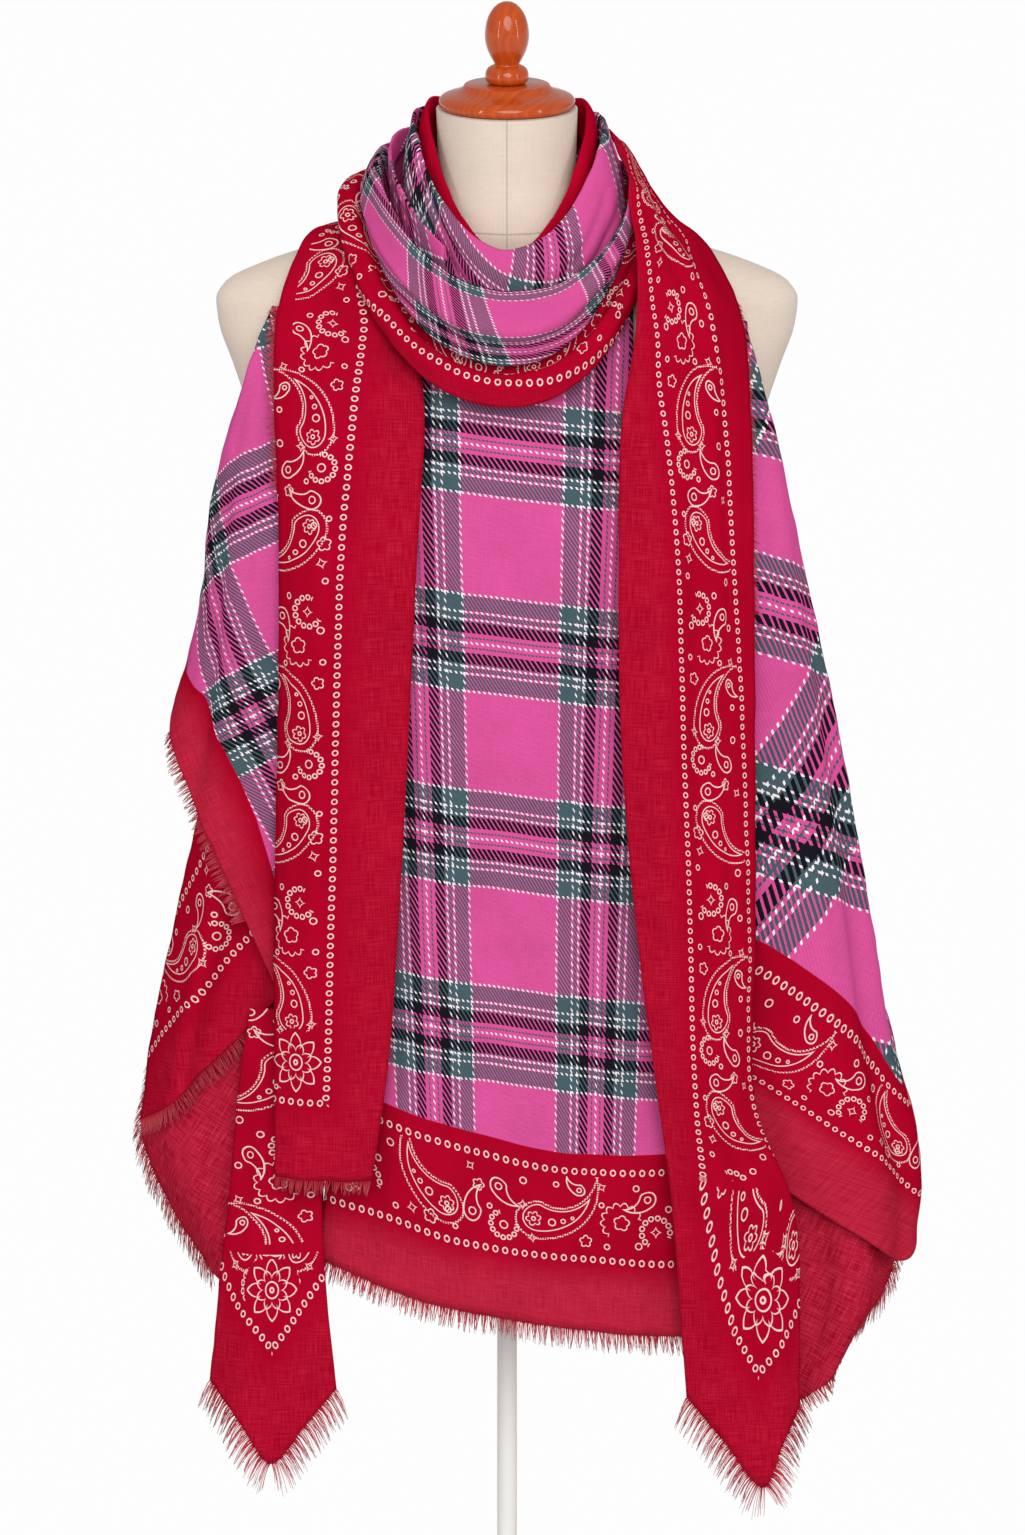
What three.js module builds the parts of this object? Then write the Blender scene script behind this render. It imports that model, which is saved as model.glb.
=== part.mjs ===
// A fringed tartan shawl with a bandana border, wound round the neck of a limbless dress form.
// Millimetres, +Z up. The front looks along -Y, and the neck stands on the Z axis.
import * as THREE from "three";

const GAP = 0.3; // between pieces that touch
const CLOTH = 1.8; // wall of one layer of cloth
const CAP_BOTTOM = 1080; // height at which the neck ends and the wooden cap sits

const LINEN = { color: 0xe6dccb, roughness: 0.85, metalness: 0 };
const CHERRY = { color: 0xb5501e, roughness: 0.2, metalness: 0 };
const PALE_STEEL = { color: 0xeceae6, roughness: 0.4, metalness: 0 };
const TARTAN = { color: 0xd24a9c, roughness: 0.9, metalness: 0 };
const BORDER = { color: 0xb50a2c, roughness: 0.9, metalness: 0 };
const SHEER = { color: 0xb3213f, roughness: 0.9, metalness: 0 };

const object = new THREE.Group();

function addMesh(name, geometry, look) {
  const mesh = new THREE.Mesh(geometry, new THREE.MeshStandardMaterial(look));
  mesh.name = name;
  object.add(mesh);
  return mesh;
}

/** Turns rows of numbers into rows with named columns. */
function table(names, rows) {
  const keys = names.split(" ");
  return rows.map((row) => Object.fromEntries(keys.map((key, i) => [key, row[i]])));
}

function indexedGeometry(points, triangles) {
  const geometry = new THREE.BufferGeometry().setFromPoints(points);
  geometry.setIndex(triangles.flat());
  geometry.computeVertexNormals();
  return geometry;
}

// ---------------------------------------------------------------- dress form

const FORM_SECTIONS = table("drop halfWidth front back", [
  [0, 49, 51, 51],
  [40, 48, 51, 52],
  [66, 52, 53, 54],
  [80, 61, 53, 57],
  [90, 95, 52, 60],
  [99, 137, 53, 62],
  [110, 171, 56, 65],
  [122, 195, 60, 69],
  [134, 202, 64, 73],
  [152, 200, 71, 78],
  [178, 191, 83, 84],
  [215, 179, 98, 87],
  [262, 167, 110, 86],
  [320, 160, 116, 81],
  [385, 144, 111, 71],
  [435, 127, 101, 66],
  [475, 122, 97, 64],
  [515, 127, 98, 68],
  [565, 141, 102, 78],
  [630, 160, 108, 90],
  [690, 166, 110, 94],
  [700, 158, 104, 88],
]);
const FORM_SIDES = 32;
const FORM_BOTTOM = CAP_BOTTOM - 700;

/** A closed body through level oval sections, from the top one down. */
function ovalBody(sections, sides) {
  const points = [];
  for (const { drop, halfWidth, front, back } of sections) {
    for (let side = 0; side < sides; side += 1) {
      const angle = (2 * Math.PI * side) / sides;
      const depth = Math.cos(angle) > 0 ? front : back;
      const z = CAP_BOTTOM - drop;
      points.push(new THREE.Vector3(halfWidth * Math.sin(angle), -depth * Math.cos(angle), z));
    }
  }
  const top = points.push(new THREE.Vector3(0, 0, CAP_BOTTOM - sections[0].drop)) - 1;
  const bottom = points.push(new THREE.Vector3(0, 0, CAP_BOTTOM - sections.at(-1).drop)) - 1;
  const last = (sections.length - 1) * sides;
  const triangles = [];
  for (let side = 0; side < sides; side += 1) {
    const next = (side + 1) % sides;
    triangles.push([top, side, next], [bottom, last + next, last + side]);
    for (let row = 0; row < last; row += sides) {
      triangles.push([row + side, row + sides + side, row + sides + next]);
      triangles.push([row + side, row + sides + next, row + next]);
    }
  }
  return indexedGeometry(points, triangles);
}

/** A turned piece from (radius, height) steps above `bottom`, standing on the neck's axis. */
function turned(name, bottom, profile, sides, look) {
  const steps = profile.map(([radius, height]) => new THREE.Vector2(radius, height));
  const geometry = new THREE.LatheGeometry(steps, sides);
  const mesh = addMesh(name, geometry, look);
  mesh.rotation.x = Math.PI / 2;
  mesh.position.z = bottom;
}

const CAP_PROFILE = [
  [0, 0], [44, 0], [47.2, 2.5], [47.5, 5.5], [45, 8.5], [38, 11], [32, 13.5], [30, 15.5],
  [28.5, 17], [0, 17],
];
const FINIAL_PROFILE = [
  [0, 0], [12, 0], [14.8, 2.5], [15, 7], [13, 11], [9, 13], [9, 14.5], [12, 20], [14.8, 28],
  [15.4, 35], [14.2, 43], [11.4, 50], [6.5, 55.5], [0, 57.5],
];
const FOOT_PLATE = 12;
const ROD_RADIUS = 7;
const BASE_RADIUS = 125;
const BASE_PROFILE = [
  [0, 0], [BASE_RADIUS, 0], [BASE_RADIUS, 5], [BASE_RADIUS - 4, 7], [24, 11], [20, 14], [16, 30],
  [0, 30],
];

function addForm() {
  addMesh("form_body", ovalBody(FORM_SECTIONS, FORM_SIDES), LINEN);
  turned("neck_cap", CAP_BOTTOM + GAP, CAP_PROFILE, 32, CHERRY);
  const capTop = CAP_BOTTOM + GAP + CAP_PROFILE.at(-1)[1];
  turned("finial", capTop + GAP, FINIAL_PROFILE, 20, CHERRY);

  const plateBottom = FORM_BOTTOM - GAP - FOOT_PLATE;
  const plate = new THREE.CylinderGeometry(1, 1, FOOT_PLATE, FORM_SIDES);
  plate.rotateX(Math.PI / 2);
  plate.scale(148, 92, 1);
  addMesh("foot_plate", plate, CHERRY).position.z = plateBottom + FOOT_PLATE / 2;

  turned("base", 0, BASE_PROFILE, 48, PALE_STEEL);
  const rodBottom = BASE_PROFILE.at(-1)[1] + GAP;
  const rodTop = plateBottom - GAP;
  turned("rod", rodBottom, [
    [0, 0], [ROD_RADIUS, 0], [ROD_RADIUS, rodTop - rodBottom], [0, rodTop - rodBottom],
  ], 16, PALE_STEEL);
}

// ---------------------------------------------------------------- cloth walls

function smoothLine(stops, count) {
  const curve = new THREE.CatmullRomCurve3(stops);
  return Array.from({ length: count + 1 }, (_, i) => curve.getPoint(i / count));
}

function mix(a, b, share) {
  return a + (b - a) * share;
}

/** Fills rows of stops into a grid of points: `across` steps in each row, `down` steps of rows. */
function clothGrid(rows, across, down) {
  const filled = rows.map((stops) => smoothLine(stops, across));
  const columns = filled[0].map((_, j) => smoothLine(filled.map((row) => row[j]), down));
  return Array.from({ length: down + 1 }, (_, i) => columns.map((column) => column[i]));
}

function gridNormals(grid, closed) {
  const last = grid[0].length - 1;
  return grid.map((row, i) => row.map((_, j) => {
    const before = closed && j === 0 ? last : Math.max(j - 1, 0);
    const after = closed && j === last ? 0 : Math.min(j + 1, last);
    const across = row[after].clone().sub(row[before]);
    const below = grid[Math.min(i + 1, grid.length - 1)][j];
    const down = below.clone().sub(grid[Math.max(i - 1, 0)][j]);
    return down.cross(across).normalize();
  }));
}

/** Presses soft folds into a grid. A fold runs down it from `from` to `to`, `depth` towards the front. */
function foldGrid(grid, folds, facing, closed = false) {
  const normals = gridNormals(grid, closed);
  const rows = grid.length - 1;
  const columns = closed ? grid[0].length : grid[0].length - 1;
  grid.forEach((row, i) => row.forEach((point, j) => {
    let lift = 0;
    for (const { at, slant, width, depth, from, to } of folds) {
      const share = (i / rows - from) / (to - from);
      const swell = share > 0 && share < 1 ? Math.sin(Math.PI * share) : 0;
      const away = (j / columns - at - slant * i / rows) / width;
      lift += depth * swell * Math.exp(-away * away);
    }
    point.addScaledVector(normals[i][j], lift * facing);
  }));
  return grid;
}

/** A closed wall of cloth, `thickness` through, about a grid. */
function wallGeometry(grid, thickness, closed) {
  const normals = gridNormals(grid, closed);
  const rows = grid.length;
  const columns = grid[0].length;
  const side = (sign) => grid.flatMap((row, i) => row.map((point, j) => (
    point.clone().addScaledVector(normals[i][j], sign * thickness / 2))));
  const points = [...side(1), ...side(-1)];
  const front = (i, j) => i * columns + (j % columns);
  const back = (i, j) => rows * columns + front(i, j);
  const triangles = [];
  const quad = (a, b, c, d) => triangles.push([a, b, c], [a, c, d]);
  const steps = closed ? columns : columns - 1;
  for (let j = 0; j < steps; j += 1) {
    for (let i = 0; i + 1 < rows; i += 1) {
      quad(front(i, j), front(i + 1, j), front(i + 1, j + 1), front(i, j + 1));
      quad(back(i, j), back(i, j + 1), back(i + 1, j + 1), back(i + 1, j));
    }
    quad(back(0, j), front(0, j), front(0, j + 1), back(0, j + 1));
    quad(back(rows - 1, j + 1), front(rows - 1, j + 1), front(rows - 1, j), back(rows - 1, j));
  }
  if (!closed) {
    for (let i = 0; i + 1 < rows; i += 1) {
      quad(back(i, 0), back(i + 1, 0), front(i + 1, 0), front(i, 0));
      quad(front(i, steps), front(i + 1, steps), back(i + 1, steps), back(i, steps));
    }
  }
  return indexedGeometry(points, triangles);
}

// ---------------------------------------------------------------- hanging stretches

const HANGING = "innerX innerZ outerX outerZ y innerBack outerBack middle drop";
const WRAPPED = "innerX innerZ sideX sideZ backX backZ frontY sideY backY";
const FOLD = "at slant width depth from to";

/** One level of a stretch that hangs flat: its edges fall back, its middle hangs by `drop`. */
function hangingStops(row, pointed) {
  const quarter = pointed ? 0.5 : 0.75;
  const stop = (share, back, drop) => new THREE.Vector3(
    mix(row.innerX, row.outerX, share), row.y + back, mix(row.innerZ, row.outerZ, share) - drop);
  return [
    stop(0, row.innerBack, 0),
    stop(row.middle / 2, 0, row.drop * quarter),
    stop(row.middle, 0, row.drop),
    stop((1 + row.middle) / 2, 0, row.drop * quarter),
    stop(1, row.outerBack, 0),
  ];
}

/** One level of a wing: across the front, round the side and back behind it. */
function wrappedStops(row) {
  return [
    new THREE.Vector3(row.innerX, row.frontY, row.innerZ),
    new THREE.Vector3(mix(row.innerX, row.sideX, 0.6), row.frontY + 5, mix(row.innerZ, row.sideZ, 0.6)),
    new THREE.Vector3(row.sideX, row.sideY, row.sideZ),
    new THREE.Vector3(row.backX, row.backY, row.backZ),
  ];
}

// Left and right are the viewer's.
const STRETCHES = {
  front_panel: {
    look: TARTAN, across: 12, down: 12, facing: 1,
    rows: table(HANGING, [
      [-52, 938, 87, 952, -78, 12, 18, 0.5, 8],
      [-62, 924, 87, 932, -86, 12, 13, 0.5, 4],
      [-70, 910, 87, 911, -93, 14, 9, 0.5, 3],
      [-75, 896, 89, 889, -102, 14, 8, 0.5, 3],
      [-87, 827, 99, 810, -124, 12, 9, 0.5, 5],
      [-98, 709, 111, 683, -131, 10, 9, 0.5, 7],
      [-107, 573, 127, 538, -131, 10, 9, 0.5, 9],
      [-117, 434, 145, 395, -132, 14, 10, 0.5, 12],
      [-132, 286, 166, 233, -134, 20, 10, 0.45, 15],
    ]),
    folds: table(FOLD, [
      [0.3, 0.02, 0.06, 2.5, 0.1, 1.4],
      [0.62, 0.05, 0.05, -2.5, 0.2, 1.5],
    ]),
  },
  left_tail: {
    look: BORDER, across: 8, down: 16, facing: -1,
    rows: table(HANGING, [
      [-80, 999, -117, 994, 30, 0, 0, 0.5, 0],
      [-80, 998.5, -138, 992, -6, 0, 0, 0.5, -1],
      [-79, 988, -151, 971, -42, 0, 2, 0.5, 0],
      [-74, 962, -157, 955, -62, 0, 4, 0.5, 0],
      [-64, 928, -160, 938, -82, 3, 8, 0.5, -2],
      [-57, 892, -160, 901, -112, 4, 14, 0.5, -2],
      [-62, 789, -157, 790, -138, 5, 18, 0.5, 0],
      [-68, 663, -158, 662, -143, 5, 18, 0.5, 0],
      [-75, 535, -161, 535, -144, 5, 16, 0.5, 0],
      [-82, 435, -161, 436, -145, 5, 11, 0.5, 0],
      [-94, 349, -161, 352, -145, 5, 8, 0.5, 0],
    ]),
    folds: table(FOLD, [[0.6, 0.05, 0.09, 3, 0.15, 0.9]]),
  },
  right_tail: {
    look: BORDER, across: 8, down: 18, facing: 1,
    rows: table(HANGING, [
      [60, 1052, 70, 1040, 70, 0, 4, 0.5, 0],
      [71, 1057.5, 80, 1048, 37, 0, 8, 0.5, 0],
      [80.6, 1042, 93, 1033, 4, -10, 14, 0.5, -2],
      [87, 1012, 112, 1009, -44, -4, 36, 0.5, -3],
      [90, 974, 136, 990, -84, -2, 64, 0.5, -4],
      [88, 938, 161, 948, -104, 0, 42, 0.5, -3],
      [79, 883, 168, 882, -124, 4, 18, 0.5, -1],
      [77, 775, 170, 772, -146, 4, 14, 0.5, 0],
      [79, 658, 171, 655, -150, 4, 14, 0.5, 0],
      [90, 526, 172, 522, -151, 4, 14, 0.5, 0],
      [105, 408, 173, 400, -152, 4, 13, 0.5, 0],
      [114, 338, 199, 330, -152.5, 4, 13, 0.56, 12],
      [125, 196, 204, 189, -153, 4, 12, 0.68, 60],
    ]),
    folds: table(FOLD, [
      [0.55, 0.05, 0.08, 3.5, 0.2, 0.85],
      [0.78, 0.02, 0.06, -3, 0.3, 0.9],
    ]),
    pointed: true,
  },
  left_point: {
    look: BORDER, across: 8, down: 8, facing: -1,
    rows: table(HANGING, [
      [-124, 466, -178, 464, -109, 0, 4, 0.5, 0],
      [-127, 415, -186, 414, -118, 2, 9, 0.5, 0],
      [-129, 335, -193, 335, -125, 3, 12, 0.5, 0],
      [-126, 266, -201, 264, -131, 5, 15, 0.52, 4],
      [-119, 196, -207, 200, -134, 6, 16, 0.52, 55],
    ]),
    folds: [],
    pointed: true,
  },
  left_flap: {
    look: BORDER, across: 8, down: 6, facing: -1,
    rows: table(HANGING, [
      [-136, 596, -211, 608, -99, 0, 26, 0.5, 4],
      [-139, 560, -221, 564, -99, 0, 34, 0.5, 6],
      [-143, 524, -235, 498, -99, 0, 40, 0.5, 4],
      [-150, 496, -248, 434, -100, 0, 44, 0.5, 0],
      [-160, 469, -256, 371, -100, 0, 45, 0.5, 0],
    ]),
    folds: table(FOLD, [[0.55, 0, 0.15, -3, 0.2, 1.6]]),
  },
  left_under: {
    look: SHEER, across: 6, down: 8, facing: -1,
    rows: table(HANGING, [
      [-136, 505, -244, 432, -88, 0, 40, 0.5, 0],
      [-132, 452, -250, 392, -90, 0, 44, 0.5, 0],
      [-128, 398, -256, 363, -92, 0, 46, 0.5, 0],
      [-128, 328, -243, 323, -94, 0, 40, 0.5, 0],
      [-130, 256, -206, 264, -97, 0, 26, 0.5, 6],
    ]),
    folds: table(FOLD, [[0.5, -0.1, 0.14, 4, 0, 1.6]]),
  },
  right_under: {
    look: SHEER, across: 6, down: 8, facing: 1,
    rows: table(HANGING, [
      [170, 386, 260, 330, -102, 0, 40, 0.5, 0],
      [170, 316, 271, 303, -104, 0, 46, 0.5, 0],
      [170, 250, 268, 258, -106, 0, 46, 0.5, 8],
      [172, 188, 245, 225, -109, 0, 32, 0.45, 22],
    ]),
    folds: table(FOLD, [[0.55, 0.1, 0.14, 4, 0, 1.6]]),
  },
};

const WINGS = {
  left_wing: {
    look: TARTAN, across: 10, down: 12, facing: -1,
    rows: table(WRAPPED, [
      [-136, 945, -160, 950, -162, 949, -56, -50, -42],
      [-128, 920, -172, 927, -170, 925, -66, -60, -50],
      [-124, 892, -184, 895, -178, 893, -86, -70, -54],
      [-126, 815, -202, 816, -192, 822, -106, -76, -30],
      [-130, 703, -212, 731, -200, 756, -114, -76, -10],
      [-134, 582, -224, 676, -211, 718, -116, -74, 6],
      [-150, 458, -233, 649, -218, 696, -118, -72, 12],
    ]),
    folds: table(FOLD, [
      [0.3, 0.1, 0.09, 4, 0.15, 1.3],
      [0.55, -0.05, 0.08, -4, 0.2, 1.4],
    ]),
  },
  right_wing: {
    look: TARTAN, across: 10, down: 12, facing: 1,
    rows: table(WRAPPED, [
      [150, 944, 163, 940, 166, 938, -56, -50, -42],
      [141, 883, 181, 876, 176, 874, -86, -70, -50],
      [141, 787, 200, 780, 191, 788, -112, -76, -28],
      [143, 661, 226, 653, 215, 680, -118, -76, -10],
      [148, 533, 250, 508, 240, 575, -118, -74, 6],
      [157, 436, 267, 402, 247, 506, -118, -74, 12],
      [164, 390, 286, 332, 255, 478, -118, -76, 14],
      [171, 352, 283, 276, 262, 440, -118, -78, 14],
    ]),
    folds: table(FOLD, [
      [0.35, 0.08, 0.09, 5, 0.15, 1.5],
      [0.58, 0.02, 0.07, -5, 0.3, 1.5],
    ]),
  },
};

// ---------------------------------------------------------------- stretches round the neck

const LOOP = "left right front back frontZ leftZ rightZ backZ";

/** One level of a loop: an oval round the neck whose height runs smoothly through four values. */
function loopPoints(row, angles, fullness) {
  const level = (row.frontZ + row.backZ + row.leftZ + row.rightZ) / 4;
  const pitch = (row.frontZ - row.backZ) / 2;
  const saddle = (row.frontZ + row.backZ - row.leftZ - row.rightZ) / 4;
  const roll = (row.rightZ - row.leftZ) / 2;
  const rounded = (value) => Math.sign(value) * Math.abs(value) ** fullness;
  return angles.map((angle) => {
    const [sine, cosine] = [Math.sin(angle), Math.cos(angle)];
    return new THREE.Vector3(
      rounded(sine) * (sine > 0 ? row.right : row.left),
      -rounded(cosine) * (cosine > 0 ? row.front : row.back),
      level + pitch * cosine + roll * sine + saddle * Math.cos(2 * angle));
  });
}

// fullness: 1 is an oval, and less is squarer. start and end: degrees from the front, if not closed
const LOOPS = {
  neck_collar: {
    look: BORDER, around: 28, down: 4,
    rows: table(LOOP, [
      [54, 54, 60, 58, 988, 1050, 1050, 1040],
      [55, 56, 61, 60, 990, 1078, 1076, 1060],
      [60, 61, 64, 64, 978, 1068, 1067, 1052],
      [61, 62, 66, 65, 970, 1042, 1040, 1030],
    ]),
    folds: [],
  },
  neck_loop_inner: {
    look: TARTAN, around: 32, down: 6,
    rows: table(LOOP, [
      [64, 65, 70, 69, 984, 1056, 1052, 1040],
      [65, 67, 72, 71, 994, 1072, 1067, 1052],
      [70, 77, 82, 75, 982, 1050, 1042, 1038],
      [72, 81, 87, 77, 966, 1024, 1020, 1024],
      [73, 82, 89, 77, 956, 1014, 1013, 1014],
    ]),
    folds: table(FOLD, [
      [0.86, 0.05, 0.03, -4, 0.1, 1.2],
      [0.78, 0.05, 0.03, 4, 0.1, 1.2],
    ]),
  },
  neck_loop_twist: {
    look: TARTAN, around: 16, down: 4, start: -165, end: -32,
    rows: table(LOOP, [
      [78, 72, 92, 80, 972, 1036, 1020, 1036],
      [81, 74, 93, 82, 980, 1050, 1030, 1046],
      [81.5, 75, 94, 83, 970, 1036, 1016, 1034],
      [79.8, 74, 93, 82, 954, 1013, 1000, 1020],
    ]),
    folds: [],
  },
  neck_loop_outer: {
    look: TARTAN, around: 32, down: 8, fullness: 0.9,
    rows: table(LOOP, [
      [83.5, 86, 98, 87, 963, 1017, 1023, 1021],
      [90, 88, 101, 91, 971, 1041, 1026, 1032],
      [101, 89, 117, 95, 948, 1024, 1018, 1018],
      [101, 89, 117, 94, 934, 1019, 1014, 1015],
      [99, 87, 112, 93, 921, 1016, 1012, 1011],
    ]),
    folds: table(FOLD, [
      [0.9, 0, 0.12, -2.5, 0.55, 1],
      [0.1, 0, 0.12, -2.5, 0.55, 1],
    ]),
  },
  neck_border: {
    look: BORDER, around: 36, down: 8, fullness: 0.9,
    rows: table(LOOP, [
      [91, 83, 97, 86, 930, 1013, 1006, 998],
      [98, 91, 106, 90, 911, 1011, 1011, 1002],
      [107, 97, 115, 101, 915, 1017, 1014, 1009],
      [117, 103, 123, 105, 909, 1013, 1009, 1005],
      [117, 104, 123, 104, 894, 1009, 1004, 1000],
    ]),
    folds: [],
  },
};

// ---------------------------------------------------------------- fringes

const STRIP = { thickness: 1.2, width: 2, gap: 0.9 };
const LOCK_SHARE = 0.6; // of the pitch that a lock's root takes

/** A steady spread of values from 0 to 1, so that locks differ but every build is alike. */
function scatter(index) {
  return (index * 0.618034) % 1;
}

/** The frame of an edge at a distance along it. */
function edgeFrame(edge, inside, lengths, distance) {
  let i = 0;
  while (i + 2 < edge.length && lengths[i + 1] < distance) i += 1;
  const share = (distance - lengths[i]) / (lengths[i + 1] - lengths[i]);
  const point = edge[i].clone().lerp(edge[i + 1], share);
  const along = edge[i + 1].clone().sub(edge[i]).normalize();
  const away = point.clone().sub(inside[i].clone().lerp(inside[i + 1], share));
  const outward = away.addScaledVector(along, -away.dot(along)).normalize();
  return { point, along, outward };
}

/** A comb: a narrow strip just off an edge of cloth, with tapered locks fused into it. */
function combGeometry(edge, inside, { pitch, length, lean }) {
  const lengths = edge.map(() => 0);
  edge.slice(1).forEach((point, i) => {
    lengths[i + 1] = lengths[i] + point.distanceTo(edge[i]);
  });
  const total = lengths.at(-1);
  const locks = Math.round(total / pitch);
  const points = [];
  const tips = [];
  for (let lock = 0; lock < locks; lock += 1) {
    const start = (lock + (1 - LOCK_SHARE) / 2) * total / locks;
    const root = LOCK_SHARE * total / locks;
    for (const distance of [start, start + root]) {
      const { point, along, outward } = edgeFrame(edge, inside, lengths, distance);
      const normal = along.clone().cross(outward).multiplyScalar(STRIP.thickness / 2);
      const near = point.clone().addScaledVector(outward, STRIP.gap);
      const far = near.clone().addScaledVector(outward, STRIP.width);
      points.push(near.clone().sub(normal), near.clone().add(normal));
      points.push(far.clone().add(normal), far.clone().sub(normal));
    }
    const { point, along, outward } = edgeFrame(edge, inside, lengths, start + root / 2);
    const reach = length * (0.75 + 0.4 * scatter(lock)) + STRIP.width;
    const sway = lean + 3 * (scatter(lock + 7) - 0.5);
    tips.push(point.addScaledVector(outward, reach).addScaledVector(along, sway));
  }
  const firstTip = points.length;
  const triangles = [];
  const quad = (a, b, c, d) => triangles.push([a, b, c], [a, c, d]);
  for (let station = 0; station + 1 < locks * 2; station += 1) {
    const [a, b] = [station * 4, station * 4 + 4];
    quad(a + 1, b + 1, b + 2, a + 2);
    quad(a, a + 3, b + 3, b);
    quad(a, b, b + 1, a + 1);
    if (station % 2 === 1) {
      quad(a + 3, a + 2, b + 2, b + 3);
    } else {
      const tip = firstTip + station / 2;
      triangles.push([a + 3, a + 2, tip], [a + 2, b + 2, tip], [b + 2, b + 3, tip], [b + 3, a + 3, tip]);
    }
  }
  const end = (locks * 2 - 1) * 4;
  quad(0, 1, 2, 3);
  quad(end + 3, end + 2, end + 1, end);
  return indexedGeometry([...points, ...tips], triangles);
}

// side: which edge of the stretch. from and to: the share of that edge that is fringed
const FRINGES = table("name on side from to pitch length lean", [
  ["front_hem_fringe", "front_panel", "hem", 0.02, 0.98, 8.5, 13, 2],
  ["left_tail_hem_fringe", "left_tail", "hem", 0, 1, 8, 10, 1],
  ["left_tail_side_fringe", "left_tail", "outer", 0.31, 0.56, 10, 6, 1],
  ["right_tail_inner_fringe", "right_tail", "hem", 0, 0.5, 8, 13, 0],
  ["right_tail_outer_fringe", "right_tail", "hem", 0.5, 1, 8, 13, 0],
  ["right_tail_side_fringe", "right_tail", "outer", 0.4, 0.6, 10, 5, 2],
  ["left_point_inner_fringe", "left_point", "hem", 0, 0.5, 8, 13, 0],
  ["left_point_outer_fringe", "left_point", "hem", 0.5, 1, 8, 13, 0],
  ["left_wing_fringe", "left_wing", "hem", 0.2, 0.7, 9, 9, 0],
  ["left_flap_fringe", "left_flap", "hem", 0.12, 1, 8.5, 12, 2],
  ["left_under_fringe", "left_under", "outer", 0.1, 1, 8.5, 13, 4],
  ["right_under_side_fringe", "right_under", "outer", 0.05, 1, 8.5, 13, 4],
  ["right_under_hem_fringe", "right_under", "hem", 0, 1, 8.5, 11, 0],
]);

function edgeOf(grid, side, from, to) {
  const last = grid.length - 1;
  const far = grid[0].length - 1;
  const cut = (line) => {
    const steps = line.length - 1;
    return line.slice(Math.round(from * steps), Math.round(to * steps) + 1);
  };
  if (side === "hem") {
    return { edge: cut(grid[last]), inside: cut(grid[last - 1]) };
  }
  return { edge: cut(grid.map((row) => row[far])), inside: cut(grid.map((row) => row[far - 1])) };
}

// ---------------------------------------------------------------- assembly

const grids = {};

function addHanging(name, { look, across, down, facing, rows, folds, pointed = false }) {
  const grid = clothGrid(rows.map((row) => hangingStops(row, pointed)), across, down);
  grids[name] = foldGrid(grid, folds, facing);
  addMesh(name, wallGeometry(grid, CLOTH, false), look);
}

function addWing(name, { look, across, down, facing, rows, folds }) {
  const grid = clothGrid(rows.map(wrappedStops), across, down);
  grids[name] = foldGrid(grid, folds, facing);
  addMesh(name, wallGeometry(grid, CLOTH, false), look);
}

function addLoop(name, { look, around, down, rows, folds, fullness = 1, start = 0, end = 360 }) {
  const closed = end - start === 360;
  const angles = Array.from({ length: closed ? around : around + 1 }, (_, i) => (
    THREE.MathUtils.degToRad(start + (end - start) * i / around)));
  const levels = rows.map((row) => loopPoints(row, angles, fullness));
  const columns = levels[0].map((_, j) => smoothLine(levels.map((level) => level[j]), down));
  const grid = Array.from({ length: down + 1 }, (_, i) => columns.map((column) => column[i]));
  foldGrid(grid, folds, 1, closed);
  addMesh(name, wallGeometry(grid, CLOTH, closed), look);
}

function addFringe({ name, on, side, from, to, pitch, length, lean }) {
  const { edge, inside } = edgeOf(grids[on], side, from, to);
  const { look } = STRETCHES[on] ?? WINGS[on];
  const geometry = combGeometry(edge, inside, { pitch, length, lean });
  addMesh(name, geometry, look === TARTAN ? BORDER : look);
}

addForm();
Object.entries(STRETCHES).forEach(([name, stretch]) => addHanging(name, stretch));
Object.entries(WINGS).forEach(([name, wing]) => addWing(name, wing));
Object.entries(LOOPS).forEach(([name, loop]) => addLoop(name, loop));
FRINGES.forEach(addFringe);

export default object;
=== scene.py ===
"""A fringed bandana shawl wound on a limbless dress form: finishes, cloth and studio."""

import math

import bmesh
import bpy
import numpy as np
from bpy.props import FloatProperty, FloatVectorProperty, IntProperty, PointerProperty
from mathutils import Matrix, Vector


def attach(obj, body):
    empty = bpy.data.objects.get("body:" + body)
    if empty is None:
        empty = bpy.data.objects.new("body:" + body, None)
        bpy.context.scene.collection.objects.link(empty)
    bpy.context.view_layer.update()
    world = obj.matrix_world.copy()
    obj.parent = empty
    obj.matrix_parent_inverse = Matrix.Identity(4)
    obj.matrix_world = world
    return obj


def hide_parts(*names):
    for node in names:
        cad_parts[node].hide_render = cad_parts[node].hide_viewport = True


bl_info = {
    "name": "Fringed Bandana Shawl",
    "version": (1, 0, 0),
    "blender": (4, 5, 0),
    "location": "View3D > Sidebar > Shawl",
    "description": "Builds a wound tartan and paisley shawl on a dress form",
    "category": "Add Mesh",
}

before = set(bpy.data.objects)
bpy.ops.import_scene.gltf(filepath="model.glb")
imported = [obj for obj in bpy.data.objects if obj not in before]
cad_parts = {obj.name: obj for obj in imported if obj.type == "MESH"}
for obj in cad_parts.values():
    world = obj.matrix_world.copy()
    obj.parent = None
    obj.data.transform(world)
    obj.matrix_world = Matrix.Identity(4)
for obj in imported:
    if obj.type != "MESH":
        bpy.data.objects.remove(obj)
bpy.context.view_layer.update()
MM = 0.001

# ------------------------------------------------------------------ sizes of the cloth, in mm

HANGING = "inner_x inner_z outer_x outer_z y inner_back outer_back middle drop"
WRAPPED = "inner_x inner_z side_x side_z back_x back_z front_y side_y back_y"
LOOP = "left right front back front_z left_z right_z back_z"
FOLD = "at slant width depth start stop"
CREASE = "from_a from_b to_a to_b width depth"


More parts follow.
